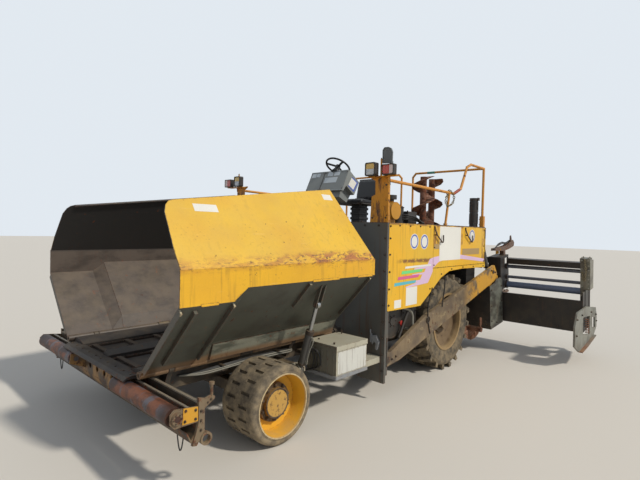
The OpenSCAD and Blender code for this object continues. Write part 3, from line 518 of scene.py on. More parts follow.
class Stock:
    """Shapes are added one by one, in metres with y from the front axle, and become one piece."""

    def __init__(self, side=1, turn=None):
        self.mesh = bmesh.new()
        self.side = side
        self.turn = turn
        self.slot_now = 0

    def add(self, corners, faces):
        made = [self.mesh.verts.new(self.turn @ Vector(c) if self.turn else Vector(c)) for c in corners]
        for face in faces:
            self.mesh.faces.new([made[i] for i in face]).material_index = self.slot_now
        return made

    def box(self, low, high):
        x, y, z = zip(low, high)
        corners = [(x[i], y[j], z[k]) for i in (0, 1) for j in (0, 1) for k in (0, 1)]
        self.add(corners, [(0, 1, 3, 2), (4, 6, 7, 5), (0, 4, 5, 1), (2, 3, 7, 6), (0, 2, 6, 4),
                           (1, 5, 7, 3)])

    def prism(self, axis, start, end, outline):
        """An outline swept along an axis. It is drawn in the other two axes, in their order."""
        def corner(along, pair):
            first, second = pair
            return {"x": (along, first, second), "y": (first, along, second),
                    "z": (first, second, along)}[axis]
        count = len(outline)
        corners = [corner(start, p) for p in outline] + [corner(end, p) for p in outline]
        walls = [(i, (i + 1) % count, count + (i + 1) % count, count + i) for i in range(count)]
        self.add(corners, walls + [tuple(range(count))[::-1], tuple(range(count, 2 * count))])

    def disc(self, axis, start, end, centre, radius, sides=24):
        turn = [2 * math.pi * i / sides for i in range(sides)]
        self.prism(axis, start, end, [(centre[0] + radius * math.cos(t), centre[1] + radius * math.sin(t))
                                      for t in turn])

    def ring(self, axis, start, end, centre, outer, inner, sides=32):
        corners = []
        for along in (start, end):
            for radius in (outer, inner):
                for i in range(sides):
                    a = centre[0] + radius * math.cos(2 * math.pi * i / sides)
                    b = centre[1] + radius * math.sin(2 * math.pi * i / sides)
                    corners.append({"x": (along, a, b), "y": (a, along, b), "z": (a, b, along)}[axis])
        faces = []
        for i in range(sides):
            j = (i + 1) % sides
            for a, b in ((0, 1), (2, 0), (3, 2), (1, 3)):
                faces.append((a * sides + i, a * sides + j, b * sides + j, b * sides + i))
        self.add(corners, faces)

    def tube(self, path, radius, sides=10, closed=False):
        """A round bar, hose or wire through points, with its rings kept from twisting."""
        path = [Vector(p) for p in path]
        count = len(path)
        rings = []
        across = None
        for i, point in enumerate(path):
            before = path[i - 1] if i or closed else point
            after = path[(i + 1) % count] if i < count - 1 or closed else point
            along = (after - before).normalized()
            if across is None:
                across = along.orthogonal().normalized()
            across = (across - along * across.dot(along)).normalized()
            other = along.cross(across)
            rings.append([point + across * radius * math.cos(2 * math.pi * k / sides)
                          + other * radius * math.sin(2 * math.pi * k / sides) for k in range(sides)])
        corners = [c for ring in rings for c in ring]
        faces = []
        for i in range(count if closed else count - 1):
            j = (i + 1) % count
            for k in range(sides):
                m = (k + 1) % sides
                faces.append((i * sides + k, i * sides + m, j * sides + m, j * sides + k))
        if not closed:
            faces += [tuple(range(sides))[::-1], tuple((count - 1) * sides + k for k in range(sides))]
        self.add(corners, faces)

    def piece(self, name, body, slot, finish, smooth=False, bevel=0.0):
        bmesh.ops.translate(self.mesh, verts=self.mesh.verts, vec=(0, FRONT_AXLE_Y, 0))
        if self.side < 0:
            bmesh.ops.scale(self.mesh, verts=self.mesh.verts, vec=(-1, 1, 1))
        bmesh.ops.recalc_face_normals(self.mesh, faces=self.mesh.faces)
        mesh = bpy.data.meshes.new(name)
        self.mesh.to_mesh(mesh)
        self.mesh.free()
        mesh.materials.append(made[finish])
        made_piece = bpy.data.objects.new(name, mesh)
        bpy.context.scene.collection.objects.link(made_piece)
        if smooth:
            mesh.shade_smooth()
            mesh.set_sharp_from_angle(angle=math.radians(35))
        if bevel:
            rounding = made_piece.modifiers.new("rounded corners", "BEVEL")
            rounding.width = bevel
            rounding.segments = 2
            rounding.limit_method = "ANGLE"
        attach(made_piece, body)
        return made_piece


def plates(name, body, slot, finish, boxes, side=1, bevel=0.002):
    """One piece of flat bars or plates, each given by its lowest and highest corner."""
    stock = Stock(side)
    for low, high in boxes:
        stock.box(low, high)
    return stock.piece(name, body, slot, finish, bevel=bevel)


def smooth_path(points, steps=6):
    """A curve through the points, for hoses and bent bars."""
    points = [Vector(p) for p in points]
    ends = [2 * points[0] - points[1]] + points + [2 * points[-1] - points[-2]]
    path = []
    for a, b, c, d in zip(ends, ends[1:], ends[2:], ends[3:]):
        for i in range(steps):
            t = i / steps
            path.append(0.5 * (2 * b + (c - a) * t + (2 * a - 5 * b + 4 * c - d) * t ** 2
                               + (3 * b - a - 3 * c + d) * t ** 3))
    return path + [points[-1]]


# Geometry Nodes, for what repeats or follows a path

class Tree:
    """A node tree in the making. It takes a mesh, the inputs named here and a finish."""

    def __init__(self, name, *inputs):
        self.group = bpy.data.node_groups.new(name, "GeometryNodeTree")
        self.group.interface.new_socket("Geometry", in_out="INPUT", socket_type="NodeSocketGeometry")
        self.group.interface.new_socket("Geometry", in_out="OUTPUT", socket_type="NodeSocketGeometry")
        for label, kind in (*inputs, ("Finish", "Material")):
            self.group.interface.new_socket(label, in_out="INPUT", socket_type="NodeSocket" + kind)
        self.given = self.group.nodes.new("NodeGroupInput").outputs

    def step(self, kind, settings=None, inputs=None, out=0):
        made = self.group.nodes.new(kind)
        for key, value in (settings or {}).items():
            setattr(made, key, value)
        for key, value in (inputs or {}).items():
            if isinstance(value, bpy.types.NodeSocket):
                self.group.links.new(value, made.inputs[key])
            else:
                made.inputs[key].default_value = value
        return made.outputs[out]

    def close(self, geometry):
        solid = self.step("GeometryNodeRealizeInstances", None, {0: geometry})
        coloured = self.step("GeometryNodeSetMaterial", None,
                             {"Geometry": solid, "Material": self.given["Finish"]})
        end = self.group.nodes.new("NodeGroupOutput")
        self.group.links.new(coloured, end.inputs[0])
        return self.group


def heads_tree():
    """A copy of one shape on every point, turned and sized by the point's own numbers."""
    tree = Tree("copies at points", ("Shape", "Object"))
    shape = tree.step("GeometryNodeObjectInfo", None, {"Object": tree.given["Shape"]}, "Geometry")
    turn = tree.step("GeometryNodeInputNamedAttribute", {"data_type": "FLOAT_VECTOR"}, {"Name": "turn"})
    size = tree.step("GeometryNodeInputNamedAttribute", {"data_type": "FLOAT_VECTOR"}, {"Name": "size"})
    facing = tree.step("FunctionNodeEulerToRotation", None, {0: turn})
    placed = tree.step("GeometryNodeInstanceOnPoints", None, {
        "Points": tree.given["Geometry"], "Instance": shape, "Rotation": facing, "Scale": size})
    return tree.close(placed)


def bar_tree():
    """A round bar, hose or wire along every line."""
    tree = Tree("bars along lines", ("Radius", "Float"), ("Sides", "Int"))
    line = tree.step("GeometryNodeMeshToCurve", None, {0: tree.given["Geometry"]})
    ring = tree.step("GeometryNodeCurvePrimitiveCircle", None, {
        "Resolution": tree.given["Sides"], "Radius": tree.given["Radius"]})
    bar = tree.step("GeometryNodeCurveToMesh", None, {
        "Curve": line, "Profile Curve": ring, "Fill Caps": True})
    return tree.close(bar)


def chain_tree():
    """Links along a line, each a quarter turn from the one before."""
    tree = Tree("chain along lines", ("Shape", "Object"), ("Spacing", "Float"))
    line = tree.step("GeometryNodeMeshToCurve", None, {0: tree.given["Geometry"]})
    places = tree.step("GeometryNodeResampleCurve", {"mode": "LENGTH"}, {
        "Curve": line, "Length": tree.given["Spacing"]})
    shape = tree.step("GeometryNodeObjectInfo", None, {"Object": tree.given["Shape"]}, "Geometry")
    along = tree.step("FunctionNodeAlignRotationToVector", {"axis": "X"},
                      {"Vector": tree.step("GeometryNodeInputTangent")})
    quarter = tree.step("ShaderNodeMath", {"operation": "MULTIPLY"}, {
        0: tree.step("GeometryNodeInputIndex"), 1: math.pi / 2})
    twist = tree.step("FunctionNodeAxisAngleToRotation", None, {"Axis": (1, 0, 0), "Angle": quarter})
    facing = tree.step("FunctionNodeRotateRotation", {"rotation_space": "LOCAL"}, {0: along, 1: twist})
    placed = tree.step("GeometryNodeInstanceOnPoints", None, {
        "Points": places, "Instance": shape, "Rotation": facing})
    return tree.close(placed)


TREES = {}


def grown(maker, mesh, **inputs):
    """What a tree makes of a mesh, as a mesh of its own."""
    if maker not in TREES:
        TREES[maker] = maker()
    group = TREES[maker]
    holder = bpy.data.objects.new("holder", mesh)
    bpy.context.scene.collection.objects.link(holder)
    step = holder.modifiers.new("tree", "NODES")
    step.node_group = group
    for item in group.interface.items_tree:
        if item.in_out == "INPUT" and item.name in inputs:
            step[item.identifier] = inputs[item.name]
    depsgraph = bpy.context.evaluated_depsgraph_get()
    made_mesh = bpy.data.meshes.new_from_object(holder.evaluated_get(depsgraph), depsgraph=depsgraph)
    holder.modifiers.remove(step)
    bpy.data.objects.remove(holder)
    return made_mesh


def shape_object(kind):
    """The small shapes that are copied: they point along +Z, and are about 1 m across the head or long."""
    stock = Stock()
    if kind == "hex":
        stock.disc("z", -0.05, 0.14, (0, 0), 0.72, 14)
        stock.disc("z", 0.12, 0.72, (0, 0), 0.5, 6)
        stock.disc("z", 0.70, 0.86, (0, 0), 0.27, 8)
    elif kind == "screw":
        stock.prism("z", -0.05, 0.16, [(0.5 * math.cos(a * math.pi / 5), 0.5 * math.sin(a * math.pi / 5))
                                       for a in range(10)])
        stock.disc("z", 0.15, 0.30, (0, 0), 0.34, 10)
    elif kind == "lozenge":
        stock.add([(-0.5, 0, 0), (0, -0.14, 0), (0.5, 0, 0), (0, 0.14, 0), (-0.3, 0, 0.12), (0.3, 0, 0.12)],
                  [(3, 2, 1, 0), (0, 1, 4), (1, 5, 4), (1, 2, 5), (2, 3, 5), (3, 4, 5), (3, 0, 4)])
    elif kind == "link":
        loop = [(0.5 * math.cos(a) * 1.35, 0.5 * math.sin(a), 0) for a in
                (2 * math.pi * i / 12 for i in range(12))]
        stock.tube(loop, 0.16, 6, closed=True)
    elif kind == "pin":
        stock.disc("z", -0.5, 0.5, (0, 0), 0.5, 8)
    elif kind == "plate":
        stock.prism("z", -0.5, 0.5, [(-1.0, -0.2), (-0.85, -0.42), (-0.5, -0.5), (0, -0.36), (0.5, -0.5),
                                     (0.85, -0.42), (1.0, -0.2), (1.0, 0.2), (0.85, 0.42), (0.5, 0.5),
                                     (0, 0.36), (-0.5, 0.5), (-0.85, 0.42), (-1.0, 0.2)])
    bmesh.ops.recalc_face_normals(stock.mesh, faces=stock.mesh.faces)
    mesh = bpy.data.meshes.new(kind)
    stock.mesh.to_mesh(mesh)
    stock.mesh.free()
    return bpy.data.objects.new("shape " + kind, mesh)


SHAPES = {}
TURNS = {"z": (0, 0, 0), "-z": (math.pi, 0, 0), "y": (-math.pi / 2, 0, 0), "-y": (math.pi / 2, 0, 0),
         "x": (0, math.pi / 2, 0), "-x": (0, -math.pi / 2, 0)}


def shape(kind):
    if kind not in SHAPES:
        SHAPES[kind] = shape_object(kind)
    return SHAPES[kind]


def finished(mesh, name, body, smooth=False):
    made_piece = bpy.data.objects.new(name, mesh)
    bpy.context.scene.collection.objects.link(made_piece)
    if smooth:
        mesh.shade_smooth()
        mesh.set_sharp_from_angle(angle=math.radians(40))
    if isinstance(body, str):
        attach(made_piece, body)
    else:
        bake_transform(made_piece)
    return made_piece


def copies(name, body, finish, kind, places, side=1, turn=None):
    """One piece with a shape at each place, which is (point, direction or angles, size or sizes)."""
    mesh = bpy.data.meshes.new(name)
    points = []
    angles = []
    sizes = []
    for point, facing, size in places:
        point = turn @ Vector(point) if turn else Vector(point)
        euler = TURNS[facing] if isinstance(facing, str) else facing
        if turn:
            euler = tuple((turn.to_3x3() @ Euler(euler).to_matrix()).to_euler())
        if side < 0:
            euler = (euler[0], -euler[1], -euler[2])
        points.append((point.x * side, point.y + FRONT_AXLE_Y, point.z))
        angles += euler
        sizes += (size, size, size) if isinstance(size, (int, float)) else size
    mesh.from_pydata(points, [], [])
    mesh.attributes.new("turn", "FLOAT_VECTOR", "POINT").data.foreach_set("vector", angles)
    mesh.attributes.new("size", "FLOAT_VECTOR", "POINT").data.foreach_set("vector", sizes)
    mesh = grown(heads_tree, mesh, Shape=shape(kind), Finish=made[finish])
    return finished(mesh, name, body)


def lines_mesh(name, paths, side, turn):
    mesh = bpy.data.meshes.new(name)
    points = []
    edges = []
    for path in paths:
        start = len(points)
        for point in path:
            point = turn @ Vector(point) if turn else Vector(point)
            points.append((point.x * side, point.y + FRONT_AXLE_Y, point.z))
        edges += [(i, i + 1) for i in range(start, len(points) - 1)]
    mesh.from_pydata(points, edges, [])
    return mesh


def bars(name, body, finish, paths, radius, side=1, turn=None, sides=8):
    """One piece with a round bar, hose or wire along each path."""
    mesh = grown(bar_tree, lines_mesh(name, paths, side, turn), Radius=radius, Sides=sides,
                 Finish=made[finish])
    return finished(mesh, name, body, True)


def chains(name, body, finish, paths, spacing, side=1, turn=None):
    """One piece with a chain along each path."""
    kind = "link %.4f" % spacing
    if kind not in SHAPES:
        small = shape_object("link")
        small.data.transform(Matrix.Scale(spacing, 4))
        SHAPES[kind] = small
    mesh = grown(chain_tree, lines_mesh(name, paths, side, turn), Shape=SHAPES[kind], Spacing=spacing,
                 Finish=made[finish])
    return finished(mesh, name, body, True)


def hang(start, end, sag, steps=10):
    """Points of a chain or wire that hangs between two ends."""
    start, end = Vector(start), Vector(end)
    return [start.lerp(end, i / steps) - Vector((0, 0, 4 * sag * (i / steps) * (1 - i / steps)))
            for i in range(steps + 1)]


# Wheels

FRONT_RADIUS = 0.309
FRONT_OUT, FRONT_IN = 1.192, 0.800
SLOTS_ROUND = 20
SLOT_DEPTH = 0.016


def front_tyre(name, side):
    """Solid tyre: a flat tread with two staggered rows of slots, rounded shoulders and a moulded side."""
    width = FRONT_OUT - FRONT_IN
    half = [(0.000, 0.2485), (-0.0005, 0.256), (0.003, 0.262), (0.0005, 0.268), (0.002, 0.284),
            (0.008, 0.2965), (0.020, 0.3048), (0.036, 0.3086)]
    rows = [(0.075, 0.175), (0.220, 0.320)]
    across = [(0.055, FRONT_RADIUS)] + [(x, FRONT_RADIUS) for row in rows for x in row]
    across += [(width - 0.055, FRONT_RADIUS)]
    profile = half + across + [(width - x, r) for x, r in reversed(half)]
    steps = SLOTS_ROUND * 8
    stock = Stock(side)
    draw = random.Random(4)
    dents = [draw.uniform(-0.0012, 0.0004) for _ in range(steps)]
    corners = []
    for i in range(steps):
        turn = 2 * math.pi * i / steps
        for x, r in profile:
            worn = dents[i] if abs(r - FRONT_RADIUS) < 0.006 else 0
            corners.append((FRONT_IN + x, -(r + worn) * math.sin(turn),
                            FRONT_RADIUS + (r + worn) * math.cos(turn)))
    count = len(profile)
    slot_columns = [j for j, (x, r) in enumerate(profile) if any(abs(x - row[0]) < 1e-6 for row in rows)]
    cut = set()
    pockets = []
    for k, j in enumerate(slot_columns):
        for n in range(SLOTS_ROUND):
            i = (8 * n + 4 * k) % steps
            cut |= {(i, j), ((i + 1) % steps, j)}
            rim = [(i, j), (i + 1, j), (i + 2, j), (i + 2, j + 1), (i + 1, j + 1), (i, j + 1)]
            pockets.append([(a % steps) * count + b for a, b in rim])
    faces = [(i * count + j, (i + 1) % steps * count + j, (i + 1) % steps * count + j + 1, i * count + j + 1)
             for i in range(steps) for j in range(count - 1) if (i, j) not in cut]
    faces += [(i * count, i * count + count - 1, (i + 1) % steps * count + count - 1, (i + 1) % steps * count)
              for i in range(steps)]
    for rim in pockets:
        base = len(corners)
        for index in rim:
            x, y, z = corners[index]
            spoke = Vector((0, y, z - FRONT_RADIUS)).normalized() * SLOT_DEPTH
            corners.append((x, y - spoke.y, z - spoke.z))
        faces += [(rim[m], rim[(m + 1) % 6], base + (m + 1) % 6, base + m) for m in range(6)]
        faces.append(tuple(base + m for m in range(6)))
    stock.add(corners, faces)
    tyre = stock.piece("front_tyre_" + name, "front_wheel_" + name, "tyre",
                       "front_rubber", smooth=True)
    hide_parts("tyre_f" + name)


def wheel_details(name, side):
    """Nuts and mud rings of each front wheel, and the nuts and valve of each rear wheel."""
    def circle(x, y, z, radius, count, size, start=0.5):
        return [((x, y + radius * math.cos(2 * math.pi * (i + start) / count),
                  z + radius * math.sin(2 * math.pi * (i + start) / count)), "x", size) for i in range(count)]

    places = circle(1.085, 0, FRONT_RADIUS, 0.134, 10, 0.024)
    places += circle(1.121, 0, FRONT_RADIUS, 0.110, 8, 0.009, 0)
    copies("front_wheel_nuts_" + name, "front_wheel_" + name, "grease", "hex", places, side)
    stock = Stock(side)
    stock.ring("x", 1.1195, 1.1225, (0, FRONT_RADIUS), 0.116, 0.104, 40)
    stock.piece("hub_cap_rim_" + name, "front_wheel_" + name, "black_steel", "grease", bevel=0.001)
    places = circle(1.0075, WHEELBASE, REAR_AXLE_Z, 0.215, 12, 0.036)
    copies("rear_wheel_nuts_" + name, "rear_wheel_" + name, "grease", "hex", places, side)
    stock = Stock(side)
    stock.tube([(1.050, WHEELBASE, REAR_AXLE_Z + 0.300), (1.075, WHEELBASE, REAR_AXLE_Z + 0.296),
                (1.100, WHEELBASE, REAR_AXLE_Z + 0.285)], 0.006, 8)
    stock.piece("valve_" + name, "rear_wheel_" + name, "black_steel", "grease", smooth=True)


# Stripes and blank labels

SKIN = 0.0012


def side_panel_stripes(name, side):
    """Painted stripes that run back from the front of each side into a band over the wheel arch."""
    out = BODY_OUT
    stripes = [("white", "label_white", [(1.618, 1.288), (2.155, 1.296), (2.150, 1.316), (1.625, 1.310)]),
               ("green", "stripe_green", [(1.552, 1.233), (1.960, 1.242), (1.976, 1.270), (1.562, 1.265)]),
               ("pink", "stripe_pink", [(1.488, 1.178), (1.880, 1.187), (1.910, 1.216), (1.496, 1.210)]),
               ("cyan", "stripe_cyan", [(1.425, 1.120), (1.826, 1.130), (1.843, 1.158), (1.432, 1.152)])]
    for colour, finish, outline in stripes:
        stock = Stock(side)
        stock.prism("x", out - 0.0005, out + SKIN * 1.6, outline)
        stock.piece("stripe_%s_%s" % (colour, name), "chassis", "yellow_paint", finish)
    stock = Stock(side)
    stock.prism("x", out - 0.0005, out + SKIN,
                [(1.640, 1.088), (2.092, 1.110), (2.192, 1.230), (2.192, 1.385), (2.120, 1.372),
                 (2.075, 1.308), (1.800, 1.282), (1.800, 1.270), (2.040, 1.272), (2.010, 1.232),
                 (1.760, 1.222), (1.760, 1.206), (1.970, 1.212), (1.925, 1.156), (1.700, 1.144),
                 (1.700, 1.130), (1.880, 1.132), (1.640, 1.100)])
    stock.piece("stripe_band_" + name, "chassis", "yellow_paint", "stripe_lilac")
    stock = Stock(side)
    stock.prism("x", out - 0.0005, out + SKIN, [(2.200, 1.272), (2.330, 1.335), (2.500, 1.352),
                                                (2.900, 1.350), (3.588, 1.290), (3.588, 1.330),
                                                (2.900, 1.400), (2.500, 1.412), (2.330, 1.400),
                                                (2.200, 1.388)])
    stock.piece("stripe_door_" + name, "door_" + name, "yellow_paint", "stripe_lilac")


def labels(name, side):
    """Blank labels and stickers where the machine carries its signs."""
    out = BODY_OUT
    door = "door_" + name
    for label, body, finish, low, high, lift in (
            ("rules", "chassis", "label_white", (1.650, 0.902), (1.868, 1.090), SKIN),
            ("corner", "chassis", "label_white", (1.436, 0.897), (1.560, 0.978), SKIN),
            ("poster", door, "label_white", (2.335, 1.345), (2.868, 1.738), 0.0018),
            ("strip_rear", door, "label_tan", (2.924, 1.398), (3.420, 1.474), 0.0020),
            ("strip_front", door, "label_tan", (2.210, 1.482), (2.330, 1.536), 0.0020)):
        plates("label_%s_%s" % (label, name), body, "yellow_paint", finish,
               [((out - 0.0005, *low), (out + lift, *high))], side, 0)
    for label, body, y, z in (("round_a", "chassis", 1.787, 1.568), ("round_b", "chassis", 1.994, 1.565),
                              ("round_c", door, 3.190, 1.633)):
        stock = Stock(side)
        stock.disc("x", out - 0.0005, out + SKIN, (y, z), 0.082, 40)
        stock.piece("label_%s_%s" % (label, name), body, "yellow_paint", "label_white")
        stock = Stock(side)
        stock.ring("x", out - 0.0005, out + SKIN * 1.5, (y, z), 0.074, 0.058, 40)
        stock.piece("label_ring_%s_%s" % (label, name), body, "yellow_paint", "label_blue")
    leaning = upper_sheet_turn()
    for label, low, high in (("front", (-0.665, 0.455), (-0.472, 0.520)),
                             ("rear", (0.775, 0.670), (0.900, 0.735))):
        stock = Stock(side, leaning)
        stock.box((-0.0015, low[0], low[1]), (0.0002, high[0], high[1]))
        stock.piece("wing_label_%s_%s" % (label, name), "wing_" + name, "yellow_paint", "label_white")


def upper_sheet_turn():
    """Where the wing's upper sheet stands: x across it, y along the machine, z up its slope."""
    foot = Matrix.Translation((WING_OUT, 0, BAND_TOP))
    return foot @ Matrix.Rotation(math.radians(UPPER_SLOPE - 90), 4, "Y")


# Lamps, mirror and console

def crowned(stock, x0, x1, z0, z1, front, back, depth, across=8):
    """A pane that faces -Y and bulges by depth in the middle."""
    row = across + 1
    corners = []
    for j in range(row):
        for i in range(row):
            u, v = 2 * i / across - 1, 2 * j / across - 1
            corners.append((x0 + (x1 - x0) * i / across, front - depth * (1 - u * u) * (1 - v * v),
                            z0 + (z1 - z0) * j / across))
    faces = [(j * row + i, j * row + i + 1, (j + 1) * row + i + 1, (j + 1) * row + i)
             for j in range(across) for i in range(across)]
    loop = [i for i in range(row)] + [j * row + across for j in range(1, row)]
    loop += [across * row + i for i in range(across - 1, -1, -1)]
    loop += [j * row for j in range(across - 1, 0, -1)]
    base = len(corners)
    corners += [(corners[k][0], back, corners[k][2]) for k in loop]
    count = len(loop)
    faces += [(loop[k], loop[(k + 1) % count], base + (k + 1) % count, base + k) for k in range(count)]
    faces.append(tuple(base + k for k in range(count)))
    stock.add(corners, faces)


def lamp_glass(name, side):
    """Crowned lenses sunk in the lamp housings, with their ribs, rims and screws."""
    for label, finish, x0, x1, z0, z1, front, depth in (
            ("headlamp_upper", "lens_amber", 1.0205, 1.1215, 2.271, 2.3235, 1.1835, 0.0022),
            ("headlamp_lower", "glass", 1.0205, 1.1215, 2.2135, 2.270, 1.1835, 0.0022),
            ("tail_red", "lens_red", 1.2145, 1.290, 2.2115, 2.2955, 1.1862, 0.0030),
            ("tail_clear", "lens_clear", 1.2915, 1.3335, 2.2115, 2.2955, 1.1862, 0.0025)):
        stock = Stock(side)
        crowned(stock, x0, x1, z0, z1, front, 1.1905, depth)
        stock.piece("%s_%s" % (label, name), "chassis", "lamp_lens", finish, smooth=True)
    ribs = [[(1.217, 1.1849, 2.217 + i * 0.0066), (1.252, 1.1835, 2.217 + i * 0.0066),
             (1.288, 1.1849, 2.217 + i * 0.0066)] for i in range(12)]
    bars("tail_ribs_" + name, "chassis", "lens_red_ribs", ribs, 0.0012, side, sides=6)
    flutes = [[(1.028 + i * 0.0078, 1.1823, 2.218), (1.028 + i * 0.0078, 1.1812, 2.242),
               (1.028 + i * 0.0078, 1.1823, 2.266)] for i in range(12)]
    bars("headlamp_flutes_" + name, "chassis", "glass", flutes, 0.0010, side, sides=6)
    stock = Stock(side)
    for x0, x1, z0, z1, y in ((1.0185, 1.1235, 2.2115, 2.3255, 1.1805),
                              (1.2125, 1.3355, 2.2095, 2.2975, 1.1845)):
        stock.tube([(x0, y, z0 + 0.012), (x0, y, z1 - 0.012), (x0 + 0.012, y, z1), (x1 - 0.012, y, z1),
                    (x1, y, z1 - 0.012), (x1, y, z0 + 0.012), (x1 - 0.012, y, z0), (x0 + 0.012, y, z0)],
                   0.0032, 8, closed=True)
    stock.piece("lamp_rims_" + name, "chassis", "lamp_lens", "lamp_black", smooth=True)
    bars("lamp_wires_" + name, "chassis", "hose",
         [smooth_path([(1.075, 1.238, 2.240), (1.080, 1.262, 2.232), (1.100, 1.285, 2.214),
                       (1.120, 1.300, 2.190), (1.130, 1.312, 2.120)], 5),
          smooth_path([(1.260, 1.234, 2.240), (1.262, 1.262, 2.226), (1.240, 1.288, 2.212),
                       (1.225, 1.3, 2.19), (1.222, 1.315, 2.120)], 5)], 0.004, side)
    copies("lamp_bolts_" + name, "chassis", "grease", "hex",
           [((1.070, 1.262, 2.203), "z", 0.014), ((1.143, 1.270, 2.372), "z", 0.012),
            ((1.290, 1.262, 2.203), "z", 0.014), ((1.030, 1.298, 1.80), "-y", 0.014),
            ((1.190, 1.298, 1.80), "-y", 0.014), ((1.190, 1.298, 2.12), "-y", 0.014)], side)


def mirror_details():
    """Line round the arched shell of the left mirror, and the looking glass on its rear."""
    arch = smooth_path([(1.184, 1.2592, 2.345), (1.181, 1.2592, 2.400), (1.187, 1.2592, 2.438),
                        (1.206, 1.2592, 2.455), (1.228, 1.2592, 2.453), (1.245, 1.2592, 2.434),
                        (1.252, 1.2592, 2.405), (1.252, 1.2592, 2.343)], 5)
    bars("mirror_arch", "chassis", "mirror_line", [arch], 0.0022)
    stock = Stock()
    stock.prism("y", 1.2735, 1.2752, [(1.168, 2.345), (1.266, 2.345), (1.268, 2.427), (1.253, 2.459),
                                      (1.227, 2.472), (1.184, 2.473), (1.166, 2.451)])
    stock.piece("looking_glass", "chassis", "lamp_lens", "looking_glass", bevel=0.0006)
    stock = Stock()
    stock.ring("z", 2.322, 2.342, (1.247, 1.282), 0.0125, 0.0080, 20)
    stock.disc("y", 1.293, 1.29675, (1.247, 2.332), 0.007975, 12)
    stock.disc("y", 1.296575, 1.302, (1.247, 2.332), 0.0055, 6)
    stock.piece("mirror_clamp", "chassis", "black_steel", "grease")


def console_details():
    """Blank labels on the console's front, the side label, its seam, screws, switches and column boot."""
    low_front, high_front = Vector((0, 1.442, 2.111)), Vector((0, 1.559, 2.350))
    slope = (high_front - low_front).normalized()
    out = Vector((0, -slope.z, slope.y))

    def on_front(x, up, lift):
        point = low_front + slope * up + out * lift
        return (x, point.y, point.z)

    def patch(label, finish, x0, x1, low, high, lift=0.0015):
        stock = Stock()
        corners = [on_front(x, up, depth) for depth in (-0.001, lift) for x, up in
                   ((x0, low), (x1, low), (x1, high), (x0, high))]
        stock.add(corners, [(3, 2, 1, 0), (4, 5, 6, 7), (0, 1, 5, 4), (1, 2, 6, 5), (2, 3, 7, 6),
                            (3, 0, 4, 7)])
        stock.piece("console_" + label, "chassis", "grey_plastic", finish)

    for label, finish, x0, x1, low, high, lift in (
            ("label_low", "label_pale", 0.178, 0.368, 0.108, 0.180, 0.0015),
            ("label_mid", "label_pale", 0.204, 0.284, 0.196, 0.252, 0.0015),
            ("label_right", "label_pale", 0.300, 0.383, 0.200, 0.252, 0.0015),
            ("label_left_a", "label_pale", -0.050, 0.020, 0.190, 0.246, 0.0015),
            ("label_left_b", "label_pale", 0.026, 0.084, 0.196, 0.246, 0.0015),
            ("seam", "lamp_black", 0.146, 0.154, 0.003, 0.262, 0.0025),
            ("lid_edge_low", "console_edge", -0.068, 0.498, 0.002, 0.012, 0.004),
            ("lid_edge_high", "console_edge", -0.068, 0.498, 0.254, 0.264, 0.004)):
        patch(label, finish, x0, x1, low, high, lift)
    copies("console_screws", "chassis", "grease", "screw",
           [(on_front(x, up, 0.0004), (math.atan2(out.z, -out.y) * -1 + math.pi / 2, 0, 0), 0.012)
            for x in (-0.055, 0.130, 0.170, 0.485) for up in (0.026, 0.240)])
    stock = Stock()
    stock.prism("x", 0.4995, 0.5012, [(1.621, 2.273), (1.728, 2.216), (1.652, 2.104), (1.545, 2.166)])
    stock.piece("console_side_blue", "chassis", "grey_plastic", "label_blue")
    stock = Stock()
    stock.prism("x", 0.4995, 0.5020, [(1.606, 2.262), (1.697, 2.213), (1.641, 2.130), (1.552, 2.178)])
    stock.piece("console_side_label", "chassis", "grey_plastic", "label_white")
    column = [Vector((0.285, 1.572, 2.341)) + Vector((0, 0.556, 0.831)) * t
              for t in (-0.012, 0.004, 0.018, 0.032)]
    stock = Stock()
    for i, radius in enumerate((0.046, 0.040, 0.034)):
        stock.tube([column[i], column[i + 1]], radius, 20)
    stock.piece("column_boot", "chassis", "black_plastic", "black_plastic", smooth=True, bevel=0.002)
    # switches, levers and gauges on the face towards the driver
    along = Vector((0, 1.746 - 1.559, 2.225 - 2.350)).normalized()
    face = Vector((0, -along.z, along.y))
    tip = Euler((-math.acos(face.z), 0, 0)).to_matrix().to_4x4()
    for label, finish, spots in (
            ("gauges", "black_plastic", [(0.02, 0.06, 0.036, 0.016), (0.11, 0.06, 0.036, 0.016)]),
            ("gauge_glass", "glass", [(0.02, 0.06, 0.031, 0.0175), (0.11, 0.06, 0.031, 0.0175)]),
            ("knobs", "black_plastic", [(0.40, 0.05, 0.012, 0.024), (0.44, 0.05, 0.012, 0.024),
                                        (0.40, 0.12, 0.012, 0.024), (0.44, 0.12, 0.012, 0.024),
                                        (-0.03, 0.16, 0.014, 0.030), (0.05, 0.16, 0.014, 0.030)])):
        stock = Stock()
        for x, down, radius, height in spots:
            foot = Vector((x, 1.559, 2.350)) + along * down
            stock.turn = Matrix.Translation(foot) @ tip
            stock.disc("z", -0.002, height, (0, 0), radius, 20)
        stock.piece("console_" + label, "chassis", "black_plastic", finish, smooth=True, bevel=0.0015)


# Side boxes and bulkhead

